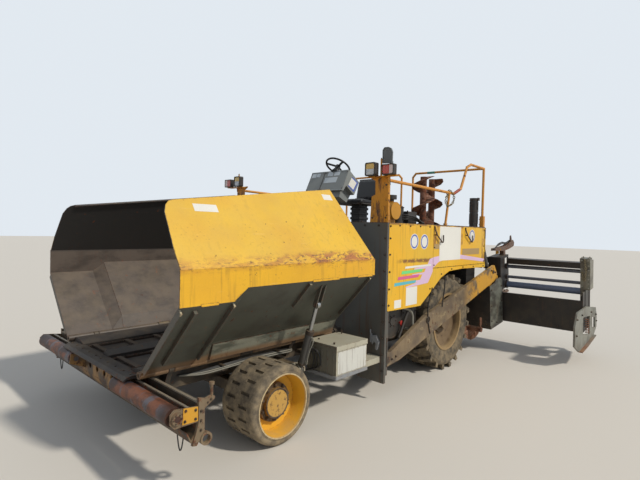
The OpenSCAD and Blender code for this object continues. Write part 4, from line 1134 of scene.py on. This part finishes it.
def box_details(name, side):
    """Ribs, foot, plate and hoses of each side box, bolts and hook of the bulkhead, handles of the doors."""
    # the ribs' darker grey is partly painted shade of the box front
    plates("box_ribs_" + name, "chassis", "grey_paint", "box_dark",
           [((x - 0.010, 0.606, 0.390), (x + 0.010, 0.6125, 0.606))
            for x in (0.875, 0.945, 1.015, 1.085, 1.155)], side)
    plates("box_foot_" + name, "chassis", "grey_paint", "box_rail",
           [((0.832, 0.600, 0.362), (1.200, 0.6125, 0.394)),
            ((1.1895, 0.604, 0.362), (1.202, 1.050, 0.394))], side)
    plates("box_plate_" + name, "chassis", "grey_paint", "box_pale",
           [((1.1895, 0.632, 0.402), (1.1925, 1.036, 0.600))], side, 0.001)
    stock = Stock(side)
    stock.disc("z", 0.6545, 0.672, (1.120, 0.660), 0.009, 12)
    stock.disc("z", 0.6545, 0.690, (0.900, 1.020), 0.006, 10)
    stock.disc("z", 0.6545, 0.668, (0.905, 0.690), 0.008, 12)
    stock.piece("lid_studs_" + name, "lid_" + name, "grey_paint", "grease")
    bars("box_hoses_" + name, "chassis", "hose",
         [smooth_path([(0.842 + 0.03 * i, 0.560, 0.56 - 0.01 * i),
                       (0.880 + 0.035 * i, 0.574, 0.615 - 0.01 * i), (0.925 + 0.04 * i, 0.588, 0.560),
                       (0.935 + 0.04 * i, 0.594, 0.470), (0.900 + 0.03 * i, 0.590, 0.400 + 0.01 * i),
                       (0.842, 0.578, 0.380)], 6) for i in range(3)],
         0.0075, side)
    # hook that holds the wing down, on the bulkhead
    stock = Stock(side)
    stock.prism("y", 1.262, 1.287, [(1.079, 0.631), (1.134, 0.642), (1.172, 0.579), (1.151, 0.496),
                                    (1.128, 0.505), (1.136, 0.560), (1.112, 0.580), (1.089, 0.543)])
    stock.box((1.060, 1.266, 0.560), (1.080, 1.287, 0.650))
    stock.tube([(1.070, 1.272, 0.645), (1.070, 1.262, 0.668), (1.070, 1.266, 0.690)], 0.008, 8)
    stock.piece("bulkhead_hook_" + name, "chassis", "grey_steel", "box_rail", bevel=0.003)
    edge = [((1.200, 1.286, z), "-y", 0.016) for z in (0.30, 0.46, 0.62, 0.78, 0.95, 1.11, 1.28, 1.44, 1.60)]
    top = [((x, 1.286, 1.725), "-y", 0.016) for x in (0.15, 0.35, 0.55, 0.75, 0.95, 1.12)]
    copies("bulkhead_bolts_" + name, "chassis", "grease", "hex", edge + top, side)
    panel = [((1.225, 1.336, z), "x", 0.015) for z in (0.94, 1.10, 1.27, 1.44, 1.60, 1.72)]
    panel += [((1.225, y, 1.728), "x", 0.013) for y in (1.50, 1.70, 1.90, 2.10)]
    arch = ((2.14, 1.04), (2.40, 1.19), (2.65, 1.236), (2.95, 1.246), (3.25, 1.240), (3.56, 1.236))
    panel += [((1.225, y, z), "x", 0.013) for y, z in arch]
    copies("panel_bolts_" + name, "chassis", "grease", "hex", panel, side)
    door = [((1.225, y, z), "x", 0.012) for y in (2.215, 3.560) for z in (1.30, 1.50, 1.715)]
    copies("door_bolts_" + name, "door_" + name, "grease", "hex", door, side)
    pulls = []
    for y in (2.290, 3.070):
        pulls.append(smooth_path([(1.2310, y - 0.082, 1.738), (1.2340, y - 0.080, 1.705),
                                  (1.2440, y - 0.072, 1.668), (1.2500, y - 0.060, 1.640)], 5))
        pulls.append(smooth_path([(1.2500, y + 0.056, 1.5625), (1.2500, y + 0.074, 1.556),
                                  (1.2490, y + 0.090, 1.572), (1.2460, y + 0.096, 1.605),
                                  (1.2440, y + 0.098, 1.640)], 5))
    bars("door_pulls_" + name, "door_" + name, "grease", pulls, 0.0075, side, sides=10)


# Front end

def push_beam_details(name, side):
    """Bright rails on the beam, the yellow bearing bracket, nuts, and the slack wire below."""
    plates("beam_rails_" + name, "chassis", "worn_steel", "worn_bright",
           [((0.560, -0.874, 0.550), (1.262, -0.856, 0.560)),
            ((0.560, -0.804, 0.568), (1.262, -0.780, 0.580))], side)
    stock = Stock(side)
    stock.prism("x", 1.2755, 1.2795, [(-0.912, 0.466), (-0.804, 0.462), (-0.804, 0.552), (-0.905, 0.566)])
    stock.piece("bearing_plate_" + name, "chassis", "rusty_yellow", "bracket_yellow", bevel=0.001)
    bracket = ((-0.895, 0.484), (-0.822, 0.480), (-0.822, 0.536), (-0.890, 0.548))
    places = [((1.279, y, z), "x", 0.013) for y, z in bracket]
    places += [((1.2885, -0.948 + 0.027 * math.cos(a), 0.515 + 0.027 * math.sin(a)), "x", 0.009)
               for a in (math.pi * i / 3 for i in range(6))]
    places += [((1.2825, -0.785, z), "x", 0.013) for z in (0.40, 0.46, 0.52)]
    places += [((1.279, -0.712, 0.575), "x", 0.012), ((1.279, -0.735, 0.560), "x", 0.010)]
    copies("beam_bolts_" + name, "chassis", "grease", "hex", places, side)
    bars("beam_wire_" + name, "chassis", "hose",
         [hang((1.170, -0.838, 0.345), (1.090, -0.838, 0.345), 0.110, 12)], 0.0045, side)
    places = [((x, -0.920, 0.6120), "z", 0.018) for x in (0.05, 0.19, 0.33, 0.47, 0.585)]
    copies("apron_screws_" + name, "chassis", "grease", "screw", places, side)


# Hoses

def hoses(name, side):
    """Bundled hydraulic hoses over the front axle, clipped to the frame; two of them pale grey as painted
    highlights.
    """
    draw = random.Random(11)
    paths = []
    for i in range(6):
        out = 0.0095 * i
        low = 0.013 * (i % 2)
        wobble = [draw.uniform(-0.004, 0.004) for _ in range(6)]
        paths.append(smooth_path([(0.590, -0.560 + wobble[0], 0.520),
                                  (0.645 + out, -0.400, 0.536 - low + wobble[1]),
                                  (0.696 + out, -0.180, 0.560 - low + wobble[2]),
                                  (0.705 + out, 0.080, 0.572 - low),
                                  (0.702 + out, 0.330, 0.568 - low + wobble[4]),
                                  (0.660 + out, 0.520, 0.548 - low), (0.590, 0.640, 0.520)], 6))
    bars("axle_hoses_" + name, "chassis", "hose", paths[:4], 0.0075, side)
    # two of the bundle in pale grey: painted highlights of the hoses
    bars("axle_pipes_" + name, "chassis", "pipe_grey", paths[4:], 0.006, side)
    plates("hose_clamps_" + name, "chassis", "black_steel", "grease",
           [((0.686, y - 0.014, z + low), (end, y + 0.014, z + high))
            for y, z, end in ((-0.24, 0.556, 0.742), (0.33, 0.568, 0.757))
            for low, high in ((-0.030, -0.022), (0.010, 0.016))], side)


# Other fittings

RAISE = (Matrix.Translation((0, TOW_PIN_Y, TOW_PIN_Z)) @ Matrix.Rotation(SCREED_RAISE, 4, "X")
         @ Matrix.Translation((0, -TOW_PIN_Y, -TOW_PIN_Z)))


def tread_plates():
    """Raised lozenges of the deck and of the walkway behind the screed."""
    def field(x0, x1, y0, y1, z, step, size):
        columns, rows = int((x1 - x0) / step), int((y1 - y0) / step)
        return [((x0 + (i + 0.5) * step, y0 + (j + 0.5) * step, z),
                 (0, 0, math.pi / 4 if (i + j) % 2 else -math.pi / 4), size)
                for i in range(columns) for j in range(rows)]

    copies("deck_lozenges", "chassis", "deck", "lozenge",
           field(-1.19, 1.19, 1.33, 3.58, 1.755, 0.050, 0.034))
    copies("walkway_lozenges", "screed", "walkway", "lozenge",
           field(-1.05, 1.05, 4.805, 5.015, 0.330, 0.042, 0.030), turn=RAISE)
    copies("walkway_bolts", "screed", "grease", "hex",
           [((x, y, 0.330), "z", 0.020) for x in (-1.04, 1.04) for y in (4.82, 4.90, 5.00)], turn=RAISE)


def conveyor_links():
    """Side plates and pins of the two flat chains, where the open hopper shows them."""
    links = []
    pins = []
    for n in range(56):
        y = -0.84 + n * 0.0375
        for x in (-0.430, -0.080, 0.080, 0.430):
            for edge in (-1, 1):
                lean = 0.010 if n % 2 else 0.0145
                links.append(((x + edge * lean, y, 0.594), (math.pi / 2, 0, math.pi / 2),
                              (0.026, 0.016, 0.004)))
            pins.append(((x, y - 0.019, 0.5945), (0, math.pi / 2, 0), (0.010, 0.010, 0.034)))
    copies("chain_plates", "chassis", "chain", "plate", links)
    copies("chain_pins", "chassis", "chain", "pin", pins)


def rail_details(name, side):
    """Tape, the loop of chain and the bolted feet of the handrails."""
    stock = Stock(side)
    stock.tube([(0.345, 3.575, 2.5425), (0.405, 3.575, 2.5422), (0.465, 3.575, 2.5419)], 0.0172, 14)
    stock.piece("rail_tape_" + name, "chassis", "yellow_paint", "teal_tape", smooth=True, bevel=0.001)
    stock = Stock(side)
    stock.tube([(1.188, 2.712, 2.1424), (1.188, 2.725, 2.142), (1.188, 2.760, 2.156), (1.188, 2.870, 2.2008)],
               0.0180, 14)
    stock.piece("rail_binding_" + name, "chassis", "rusty_yellow", "red_tape", smooth=True, bevel=0.001)
    loop = smooth_path([(1.190, 2.600, 2.166), (1.206, 2.640, 2.150), (1.208, 2.690, 2.100),
                        (1.205, 2.680, 2.040), (1.204, 2.620, 2.000), (1.204, 2.540, 1.985),
                        (1.206, 2.490, 2.030), (1.206, 2.500, 2.080), (1.190, 2.560, 2.110),
                        (1.172, 2.590, 2.150), (1.188, 2.600, 2.166)], 5)
    chains("rail_chain_" + name, "chassis", "chain_steel", [loop], 0.024, side)
    places = [((x, y, 1.7668), "z", 0.012)
              for x, y in ((1.202, 2.542), (1.174, 2.518), (0.112, 3.587), (0.088, 3.563))]
    places += [((1.162, y, z), "-x", 0.013) for y in (3.560, 3.590) for z in (1.79, 1.86)]
    copies("rail_bolts_" + name, "chassis", "grease", "hex", places, side)


def under_panel(name, side):
    """Straps and valve of the round tank, the bent pipe and the strut below each side panel."""
    stock = Stock(side)
    for x in (0.72, 0.98):
        stock.ring("x", x, x + 0.032, TANK, 0.1835, 0.1785, 48)
    stock.ring("x", 1.0985, 1.104, TANK, 0.1800, 0.1680, 48)
    stock.disc("x", 1.0985, 1.108, TANK, 0.045, 24)
    stock.piece("tank_straps_" + name, "chassis", "black_steel", "engine", smooth=True, bevel=0.001)
    stock = Stock(side)
    stock.disc("x", 1.098, 1.128, (1.735, 0.700), 0.010, 12)
    stock.disc("x", 1.120, 1.130, (1.735, 0.700), 0.024, 14)
    stock.box((1.121, 1.729, 0.655), (1.128, 1.741, 0.700))
    stock.piece("tank_valve_" + name, "chassis", "rusty_steel", "valve_red", smooth=True, bevel=0.001)
    bars("bent_pipe_" + name, "chassis", "pipe_grey",
         [smooth_path([(1.150, 1.700, 0.868), (1.150, 1.802, 0.842), (1.150, 1.880, 0.808),
                       (1.150, 1.915, 0.760), (1.150, 1.922, 0.700), (1.150, 1.922, 0.640),
                       (1.120, 1.922, 0.610), (1.050, 1.922, 0.600)], 5)], 0.013, side, sides=12)
    bars("strut_" + name, "chassis", "strap_black",
         [[(1.145, 1.660, 0.556), (1.145, 1.745, 0.687), (1.145, 1.829, 0.818)]], 0.014, side, sides=12)
    copies("tank_bolts_" + name, "chassis", "grease", "hex",
           [((1.060, y, z), "x", 0.014) for y in (1.870, 2.120) for z in (0.640, 0.780, 0.920)]
           + [((1.104, 1.600 + 0.06 * math.cos(a), 0.730 + 0.06 * math.sin(a)), "x", 0.010)
              for a in (math.pi * i / 3 for i in range(6))], side)


def arm_details(name, side):
    """The tow arm's pin heads and nuts, and the rubber straps that hang on it from the body."""
    stock = Stock(side)
    stock.disc("x", 1.2155, 1.2215, (TOW_PIN_Y, TOW_PIN_Z), 0.034, 24)
    stock.disc("x", 1.2215, 1.2255, (TOW_PIN_Y, TOW_PIN_Z), 0.022, 6)
    stock.disc("x", 1.2115, 1.2175, (3.960, 1.130), 0.026, 20)
    stock.piece("arm_pins_" + name, "screed", "rusty_steel", "grease", bevel=0.001)
    spots = ((1.450, 0.385), (1.520, 0.400), (3.900, 1.150), (4.030, 1.120))
    copies("arm_bolts_" + name, "screed", "grease", "hex",
           [((1.206, y, z), "x", 0.018) for y, z in spots], side)
    for label, path, start, end in (
            ("rear", [(1.2290, 2.485, 1.160), (1.2275, 2.490, 1.080), (1.2200, 2.496, 0.995),
                      (1.2120, 2.486, 0.900), (1.2110, 2.476, 0.840), (1.2115, 2.474, 0.800)],
             (1.228, 2.49, 1.08), (1.212, 2.48, 0.88)),
            ("front", [(1.2290, 2.190, 1.050), (1.2285, 2.175, 0.995), (1.2240, 2.157, 0.945),
                       (1.2180, 2.134, 0.860), (1.2125, 2.134, 0.801), (1.2115, 2.142, 0.740),
                       (1.2115, 2.150, 0.687), (1.2115, 2.180, 0.580), (1.2115, 2.200, 0.530)],
             (1.228, 2.175, 0.985), (1.214, 2.134, 0.83))):
        crossing = ("chassis", "screed", at(start[0] * side, *start[1:]), at(end[0] * side, *end[1:]))
        bars("arm_strap_%s_%s" % (label, name), crossing, "strap_black",
             [smooth_path(path, 5)], 0.0075, side, sides=10)
    stock = Stock(side)
    stock.ring("x", 1.2085, 1.2165, (2.150, 0.690), 0.040, 0.030, 28)
    stock.piece("strap_ring_" + name, "screed", "rusty_steel", "grease", smooth=True, bevel=0.002)


def along_axis(start, end):
    """Turns +Z onto the line from one point to another, with the first as the foot."""
    start, end = Vector(start), Vector(end)
    return Matrix.Translation(start) @ (end - start).to_track_quat("Z", "Y").to_matrix().to_4x4()


def cylinder_details(name, side):
    """Glands, end rings, ports and hoses of the wing's and the screed's cylinders."""
    wing = along_axis((0.930, 0.430, 0.440), (1.112, 0.430, 1.030))
    lift = along_axis((1.120, 3.690, 1.640), (1.120, 3.960, 1.130))
    for label, turn, low, high in (("wing", wing, 0.052, 0.372), ("lift", lift, 0.088, 0.500)):
        stock = Stock(side, turn)
        stock.ring("z", high - 0.030, high + 0.006, (0, 0), 0.0375, 0.0188, 32)
        stock.ring("z", low, low + 0.016, (0, 0), 0.0365, 0.0335, 32)
        stock.piece("%s_gland_%s" % (label, name), "%s_barrel_%s" % (label, name), "black_steel", "grease",
                    smooth=True, bevel=0.001)
        stock = Stock(side, turn)
        for z in (low + 0.030, high - 0.050):
            stock.disc("y", -0.048, -0.030, (0, z), 0.009, 6)
            stock.disc("y", -0.058, -0.046, (0, z), 0.0065, 10)
        stock.tube(smooth_path([(0, -0.056, high - 0.050), (0.004, -0.060, high - 0.090),
                                (0, -0.052, high - 0.150), (0, -0.049, low + 0.090),
                                (0, -0.056, low + 0.030)], 5), 0.0055, 8)
        stock.piece("%s_ports_%s" % (label, name), "%s_barrel_%s" % (label, name), "black_steel",
                    "pipe_grey", smooth=True)


def screed_details(name, side):
    """Bolts, chain, spring, bracket, cables and hoses of the screed, its extension and its shoe."""
    column = [((2.2985, 4.460, z), "-y", 0.016) for z in (0.60, 0.66, 0.72, 0.78, 0.84, 0.90)]
    column += [((2.220, 4.460, z), "-y", 0.016) for z in (0.38, 0.50, 0.62, 0.74, 0.86)]
    column += [((x, 4.440, 0.975), "-y", 0.018) for x in (2.222, 2.296)]
    column += [((x, y, 1.000), "z", 0.018) for x in (2.222, 2.296) for y in (4.465, 4.535)]
    copies("column_bolts_" + name, "ext_" + name, "bolt_pale", "hex", column, side, RAISE)
    chains("column_chain_" + name, "ext_" + name, "chain_steel",
           [smooth_path([(2.262, 4.430, 0.985), (2.266, 4.425, 0.930), (2.272, 4.436, 0.840),
                         (2.264, 4.440, 0.740), (2.256, 4.442, 0.700), (2.240, 4.444, 0.730),
                         (2.232, 4.446, 0.800)], 6)], 0.022, side, RAISE)
    coil = [(2.289 + 0.021 * math.cos(a), 4.450 + 0.034 * math.sin(a), -0.01 + 0.0046 * a)
            for a in (2 * math.pi * i / 14 for i in range(14 * 7))]
    bars("shoe_spring_" + name, "shoe_" + name, "chain_rust", [coil], 0.0055, side, RAISE)
    spots = ((3.930, 0.100), (3.960, 0.300), (4.200, 0.300), (4.700, 0.220), (4.980, 0.120), (5.000, 0.020))
    copies("shoe_bolts_" + name, "shoe_" + name, "grease", "hex",
           [((2.282, y, z), "x", 0.020) for y, z in spots], side, RAISE)
    spots = [(y, z) for y in (3.92, 4.29) for z in (0.12, 0.34, 0.56)] + [(4.10, 0.06)]
    plate = [((1.220, y, z), "x", 0.016) for y, z in spots]
    copies("end_plate_bolts_" + name, "screed", "grease", "hex", plate, side, RAISE)
    front = [((x, 4.372, z), "-y", 0.016) for x in (1.20, 1.45, 1.70, 1.95, 2.19) for z in (0.05, 0.40)]
    copies("extension_bolts_" + name, "ext_" + name, "grease", "hex", front, side, RAISE)
    beam = [((x, 3.880, z), "-y", 0.018) for x in (0.10, 0.32, 0.54, 0.76, 0.98, 1.15) for z in (0.12, 0.60)]
    copies("moldboard_bolts_" + name, "screed", "grease", "hex", beam, side, RAISE)
    # yellow bracket and cable bundle of the control linkage
    stock = Stock(side, RAISE)
    stock.prism("x", 1.092, 1.096, [(4.420, 1.000), (4.540, 0.990), (4.545, 1.060), (4.430, 1.070)])
    stock.box((1.092, 4.425, 1.060), (1.164, 4.435, 1.085))
    stock.piece("linkage_bracket_" + name, "screed", "rusty_yellow", "bracket_yellow", bevel=0.002)
    bars("linkage_cables_" + name, "screed", "hose",
         [smooth_path([(1.128 + 0.006 * i, 4.240, 1.100 - 0.008 * i), (1.132, 4.400, 1.128 + 0.010 * i),
                       (1.140 - 0.004 * i, 4.560, 1.140 + 0.012 * i), (1.132, 4.700, 1.120 + 0.010 * i),
                       (1.124, 4.860, 1.130 + 0.008 * i)], 5) for i in range(3)], 0.006, side, RAISE)
    # hoses from the rear wall to the screed
    for i in range(2):
        x = 0.84 + 0.05 * i
        start, end = Vector((x, 3.612, 1.280)), RAISE @ Vector((x, 4.345, 0.925))
        path = smooth_path([start, start + Vector((0, 0.055, -0.01)),
                            start.lerp(end, 0.35) + Vector((0, 0.03, -0.05)),
                            start.lerp(end, 0.7) + Vector((0, 0, -0.06)), end + Vector((0, -0.05, -0.01)),
                            end], 6)
        crossing = ("chassis", "screed", at(x * side, 3.70, 1.25), at(x * side, end.y - 0.06, end.z))
        bars("screed_hose_%d_%s" % (i, name), crossing, "hose", [path], 0.0095, side, sides=10)


def rear_wall_details(name, side):
    """Hatch with its hinges, latch and slats, a lamp, and bolts on the rear wall."""
    plates("rear_hatch_" + name, "chassis", "deck_steel", "body_yellow",
           [((0.120, 3.6135, 1.300), (0.800, 3.6185, 1.660))], side, 0.004)
    stock = Stock(side)
    for z in (1.36, 1.60):
        stock.disc("z", z - 0.03, z + 0.03, (0.112, 3.620), 0.009, 12)
    stock.box((0.745, 3.618, 1.455), (0.775, 3.632, 1.505))
    for i in range(6):
        z = 1.355 + i * 0.022
        stock.prism("x", 0.300, 0.600, [(3.618, z), (3.626, z + 0.002), (3.618, z + 0.014)])
    stock.piece("hatch_fittings_" + name, "chassis", "black_steel", "grease", bevel=0.001)
    for label, slot, finish, low, high in (
            ("lamp", "black_plastic", "lamp_black", (0.900, 3.6135, 1.560), (1.040, 3.640, 1.640)),
            ("lamp_red", "lamp_lens", "lens_red", (0.908, 3.638, 1.568), (0.970, 3.6475, 1.632)),
            ("lamp_amber", "lamp_lens", "lens_amber", (0.974, 3.638, 1.568), (1.032, 3.6475, 1.632))):
        plates("rear_%s_%s" % (label, name), "chassis", slot, finish, [(low, high)], side, 0.004)
    wall = [((x, 3.614, z), "y", 0.016) for x in (0.05, 0.85, 1.17) for z in (1.23, 1.38, 1.53, 1.70)]
    wall += [((x, 3.6185, z), "y", 0.013) for x in (0.16, 0.76) for z in (1.32, 1.64)]
    copies("rear_wall_bolts_" + name, "chassis", "grease", "hex", wall, side)


def exhaust_details():
    """Clamps, slots and a hinge plate on the exhaust, the pump's flange, and hoses on the deck."""
    stock = Stock()
    for z in (1.800, 1.960, 2.110):
        stock.ring("z", z, z + 0.016, STACK, 0.0600, 0.0545, 32)
    stock.disc("z", 2.1395, 2.1450, STACK, 0.0600, 32)
    stock.box((1.1365, 3.520, 2.110), (1.148, 3.570, 2.150))
    stock.disc("z", 1.9245, 1.9350, PUMP, 0.066, 28)
    stock.disc("z", 1.9345, 1.9600, PUMP, 0.022, 16)
    stock.piece("stack_clamps", "chassis", "black_steel", "grease", smooth=True, bevel=0.001)
    slots = [((1.080 + 0.0552 * math.cos(a), 3.545 + 0.0552 * math.sin(a), z), (0, math.pi / 2, a),
              (0.030, 0.010, 0.006)) for a in (2 * math.pi * i / 14 for i in range(14))
             for z in (1.850, 1.905, 2.010, 2.065)]
    copies("stack_slots", "chassis", "engine", "plate", slots)
    copies("pump_bolts", "chassis", "grease", "hex",
           [((1.010 + 0.050 * math.cos(a), 1.790 + 0.050 * math.sin(a), 1.935), "z", 0.012)
            for a in (math.pi * i / 3 for i in range(6))]
           + [((x, y, 1.890), "z", 0.014) for x in (0.94, 1.06) for y in (1.90, 2.04)])
    bars("deck_hoses", "chassis", "hose",
         [smooth_path([(1.070, 1.790, 1.800 + 0.025 * i), (1.105 + 0.01 * i, 1.830, 1.805 + 0.02 * i),
                       (1.115 + 0.012 * i, 1.930, 1.800 + 0.015 * i), (1.110 + 0.015 * i, 2.060, 1.782),
                       (1.070 + 0.015 * i, 2.150 + 0.02 * i, 1.768), (1.020, 2.180 + 0.03 * i, 1.757)], 6)
          for i in range(3)], 0.009, sides=10)


# Seat

def puffed(body, cap):
    """Lets a closed mesh swell a little, as cloth over padding does."""
    rest = [vertex.co.copy() for vertex in body.data.vertices]
    cloth = body.modifiers.new("cloth", "CLOTH")
    cloth.settings.use_pressure = True
    cloth.settings.uniform_pressure_force = 4
    cloth.settings.effector_weights.gravity = 0
    cloth.settings.quality = 4
    cloth.point_cache.frame_start = 1
    cloth.point_cache.frame_end = 20
    scene = bpy.context.scene
    for number in range(1, 21):
        scene.frame_set(number)
    swollen = body.evaluated_get(bpy.context.evaluated_depsgraph_get()).data
    moved = []
    for start, vertex in zip(rest, swollen.vertices):
        shift = vertex.co - start
        if shift.length > cap:
            shift *= cap / shift.length
        moved.append(start + shift)
    body.modifiers.remove(cloth)
    for vertex, place in zip(body.data.vertices, moved):
        vertex.co = place
    scene.frame_set(1)


def pad(name, sections, seams, cap=0.010):
    """A padded part lofted through sections, each a closed row of points, and swollen as cloth."""
    stock = Stock()
    count = len(sections[0])
    corners = [p for row in sections for p in row]
    faces = [(i * count + k, i * count + (k + 1) % count, (i + 1) * count + (k + 1) % count,
              (i + 1) * count + k)
             for i in range(len(sections) - 1) for k in range(count)]
    faces += [tuple(range(count))[::-1], tuple((len(sections) - 1) * count + k for k in range(count))]
    stock.add(corners, faces)
    piece = stock.piece(name, "chassis", "seat_vinyl", "vinyl")
    remesh = piece.modifiers.new("remesh", "REMESH")
    remesh.mode = "VOXEL"
    remesh.voxel_size = 0.006
    depsgraph = bpy.context.evaluated_depsgraph_get()
    mesh = bpy.data.meshes.new_from_object(piece.evaluated_get(depsgraph), depsgraph=depsgraph)
    piece.modifiers.remove(remesh)
    piece.data = mesh
    mesh.materials.clear()
    mesh.materials.append(made["vinyl"])
    puffed(piece, cap)
    mesh.shade_smooth()
    rounding = piece.modifiers.new("one subdivision", "SUBSURF")
    rounding.levels = 1
    rounding.render_levels = 1
    stock = Stock()
    for seam in seams:
        stock.tube(smooth_path(seam, 4), 0.0028, 6)
    stock.piece(name + "_piping", "chassis", "seat_vinyl", "piping", smooth=True)
    return piece


def rounded_row(x0, x1, low, high, corner, place):
    """A closed row round a rectangle with rounded corners: place turns (x, height) into a point."""
    row = []
    for cx, cz, start in ((x1 - corner, high - corner, 0), (x0 + corner, high - corner, 90),
                          (x0 + corner, low + corner, 180), (x1 - corner, low + corner, 270)):
        for step in range(5):
            angle = math.radians(start + step * 22.5)
            row.append(place(cx + corner * math.cos(angle), cz + corner * math.sin(angle)))
    return row


def driver_seat():
    """Cushion and back on a pan, over a ribbed boot and a bolted foot."""
    sections = []
    for y, inset, top in ((1.878, 0.030, 2.032), (1.886, 0.016, 2.040), (1.905, 0.010, 2.045),
                          (2.00, 0.008, 2.041), (2.12, 0.008, 2.036), (2.22, 0.010, 2.042),
                          (2.262, 0.022, 2.046)):
        sections.append(rounded_row(0.008 + inset, 0.452 - inset, 1.996, top, 0.020,
                                    lambda x, z, y=y: (x, y, z)))
    edge = 2.036
    cushion = pad("seat_cushion", sections,
                  [[(0.020, 1.90, edge), (0.018, 2.00, edge), (0.018, 2.12, edge), (0.020, 2.25, edge)],
                   [(0.440, 1.90, edge), (0.442, 2.00, edge), (0.442, 2.12, edge), (0.440, 2.25, edge)],
                   [(0.13, 1.90, 2.0545), (0.13, 2.00, 2.0505), (0.13, 2.12, 2.0455), (0.13, 2.24, 2.0515)],
                   [(0.33, 1.90, 2.0545), (0.33, 2.00, 2.0505), (0.33, 2.12, 2.0455), (0.33, 2.24, 2.0515)]])
    sections = []
    for z, inset, depth in ((2.062, 0.026, 0.046), (2.080, 0.012, 0.056), (2.14, 0.008, 0.058),
                            (2.22, 0.008, 0.056), (2.30, 0.014, 0.052), (2.330, 0.030, 0.040)):
        lean = (z - 2.04) * 0.20
        sections.append(rounded_row(0.018 + inset, 0.442 - inset, 2.262 + lean, 2.262 + lean + depth, 0.018,
                                    lambda x, y, z=z: (x, y, z)))
    pad("seat_back", sections,
        [[(x, 2.2545 + 0.2 * (z - 2.04), z) for z in (2.10, 2.16, 2.23, 2.29)] for x in (0.13, 0.33)])
    stock = Stock()
    stock.box((0.004, 1.876, 1.984), (0.456, 2.290, 1.998))
    stock.prism("x", 0.012, 0.448, [(2.322, 2.040), (2.330, 2.040), (2.392, 2.345), (2.384, 2.345)])
    stock.prism("x", 0.120, 0.340, [(2.270, 1.984), (2.326, 1.984), (2.346, 2.100), (2.326, 2.100)])
    stock.piece("seat_pan", "chassis", "black_plastic", "engine", bevel=0.004)
    stock = Stock()
    for i in range(7):
        z = 1.776 + i * 0.0298
        grow = 0.010 * (i % 2)
        stock.box((0.165 - grow, 2.030 - grow, z), (0.295 + grow, 2.190 + grow, z + 0.0302))
    stock.piece("seat_boot", "chassis", "black_plastic", "black_plastic", bevel=0.004)
    stock = Stock()
    stock.box((0.090, 1.990, 1.7550), (0.370, 2.230, 1.7755))
    stock.box((0.060, 2.150, 1.990), (0.072, 2.200, 2.030))
    stock.piece("seat_foot", "chassis", "black_plastic", "engine", bevel=0.003)
    copies("seat_bolts", "chassis", "grease", "hex",
           [((x, y, 1.7755), "z", 0.020) for x in (0.11, 0.35) for y in (2.01, 2.21)])
    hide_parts("seat")


# Stage and camera

def stand():
    """Floor, sky light and sun."""
    size = 60.0
    mesh = bpy.data.meshes.new("floor")
    mesh.from_pydata([(-size, -size, 0), (size, -size, 0), (size, size, 0), (-size, size, 0)], [],
                     [(0, 1, 2, 3)])
    floor = bpy.data.objects.new("floor", mesh)
    bpy.context.scene.collection.objects.link(floor)
    f = Finish("pale floor")
    mesh.materials.append(f.done(srgb(214, 208, 198), 0.9))
    world = bpy.data.worlds.new("sky")
    bpy.context.scene.world = world
    world.use_nodes = True
    tree = world.node_tree
    tree.nodes.clear()
    light = tree.nodes.new("ShaderNodeBackground")
    light.inputs["Color"].default_value = (0.80, 0.88, 1.0, 1)
    light.inputs["Strength"].default_value = 0.46
    shown = tree.nodes.new("ShaderNodeBackground")
    shown.inputs["Color"].default_value = (0.80, 0.86, 0.92, 1)
    shown.inputs["Strength"].default_value = 0.95
    path = tree.nodes.new("ShaderNodeLightPath")
    seen = path.outputs["Is Camera Ray"]
    for ray in ("Is Glossy Ray", "Is Transmission Ray"):
        either = tree.nodes.new("ShaderNodeMath")
        either.operation = "MAXIMUM"
        tree.links.new(seen, either.inputs[0])
        tree.links.new(path.outputs[ray], either.inputs[1])
        seen = either.outputs[0]
    mix = tree.nodes.new("ShaderNodeMixShader")
    end = tree.nodes.new("ShaderNodeOutputWorld")
    tree.links.new(seen, mix.inputs[0])
    tree.links.new(light.outputs[0], mix.inputs[1])
    tree.links.new(shown.outputs[0], mix.inputs[2])
    tree.links.new(mix.outputs[0], end.inputs[0])
    sun = bpy.data.lights.new("sun", "SUN")
    sun.energy = 2.5
    sun.angle = math.radians(4)
    sun.color = (1.0, 0.95, 0.86)
    lamp = bpy.data.objects.new("sun", sun)
    towards = Vector((0.70, 0.20, 0.68)).normalized()
    lamp.rotation_euler = towards.to_track_quat("Z", "Y").to_euler()
    bpy.context.scene.collection.objects.link(lamp)


def camera():
    """Stands where the photograph was taken from: eye height, front left of the machine."""
    data = bpy.data.cameras.new("camera")
    data.sensor_fit = "HORIZONTAL"
    data.sensor_width = 36.0
    photo_width, focal_length = 640, 443.418
    data.lens = data.sensor_width * focal_length / photo_width
    data.clip_end = 500
    eye = at(3.6733, -2.3046, 1.670)
    yaw, pitch, roll = 0.7491, -0.0237, 0.0241
    ahead = Vector((-math.sin(yaw) * math.cos(pitch), math.cos(yaw) * math.cos(pitch), math.sin(pitch)))
    level = Vector((math.cos(yaw), math.sin(yaw), 0))
    up = level.cross(ahead)
    right = level * math.cos(roll) + up * math.sin(roll)
    top = up * math.cos(roll) - level * math.sin(roll)
    turn = Matrix((right, top, -ahead)).transposed().to_4x4()
    eye_object = bpy.data.objects.new("camera", data)
    eye_object.matrix_world = Matrix.Translation(eye) @ turn
    bpy.context.scene.collection.objects.link(eye_object)
    bpy.context.scene.camera = eye_object


bpy.context.scene.view_settings.view_transform = "Standard"
camera()
stand()
made = finishes()
dress_nodes(made)
for name, side in SIDES:
    for details in (front_tyre, wheel_details, labels, lamp_glass, box_details, push_beam_details, hoses,
                    side_panel_stripes, rail_details, under_panel, arm_details, cylinder_details,
                    screed_details, rear_wall_details):
        details(name, side)
console_details()
mirror_details()
tread_plates()
conveyor_links()
exhaust_details()
driver_seat()

bpy.context.view_layer.update()
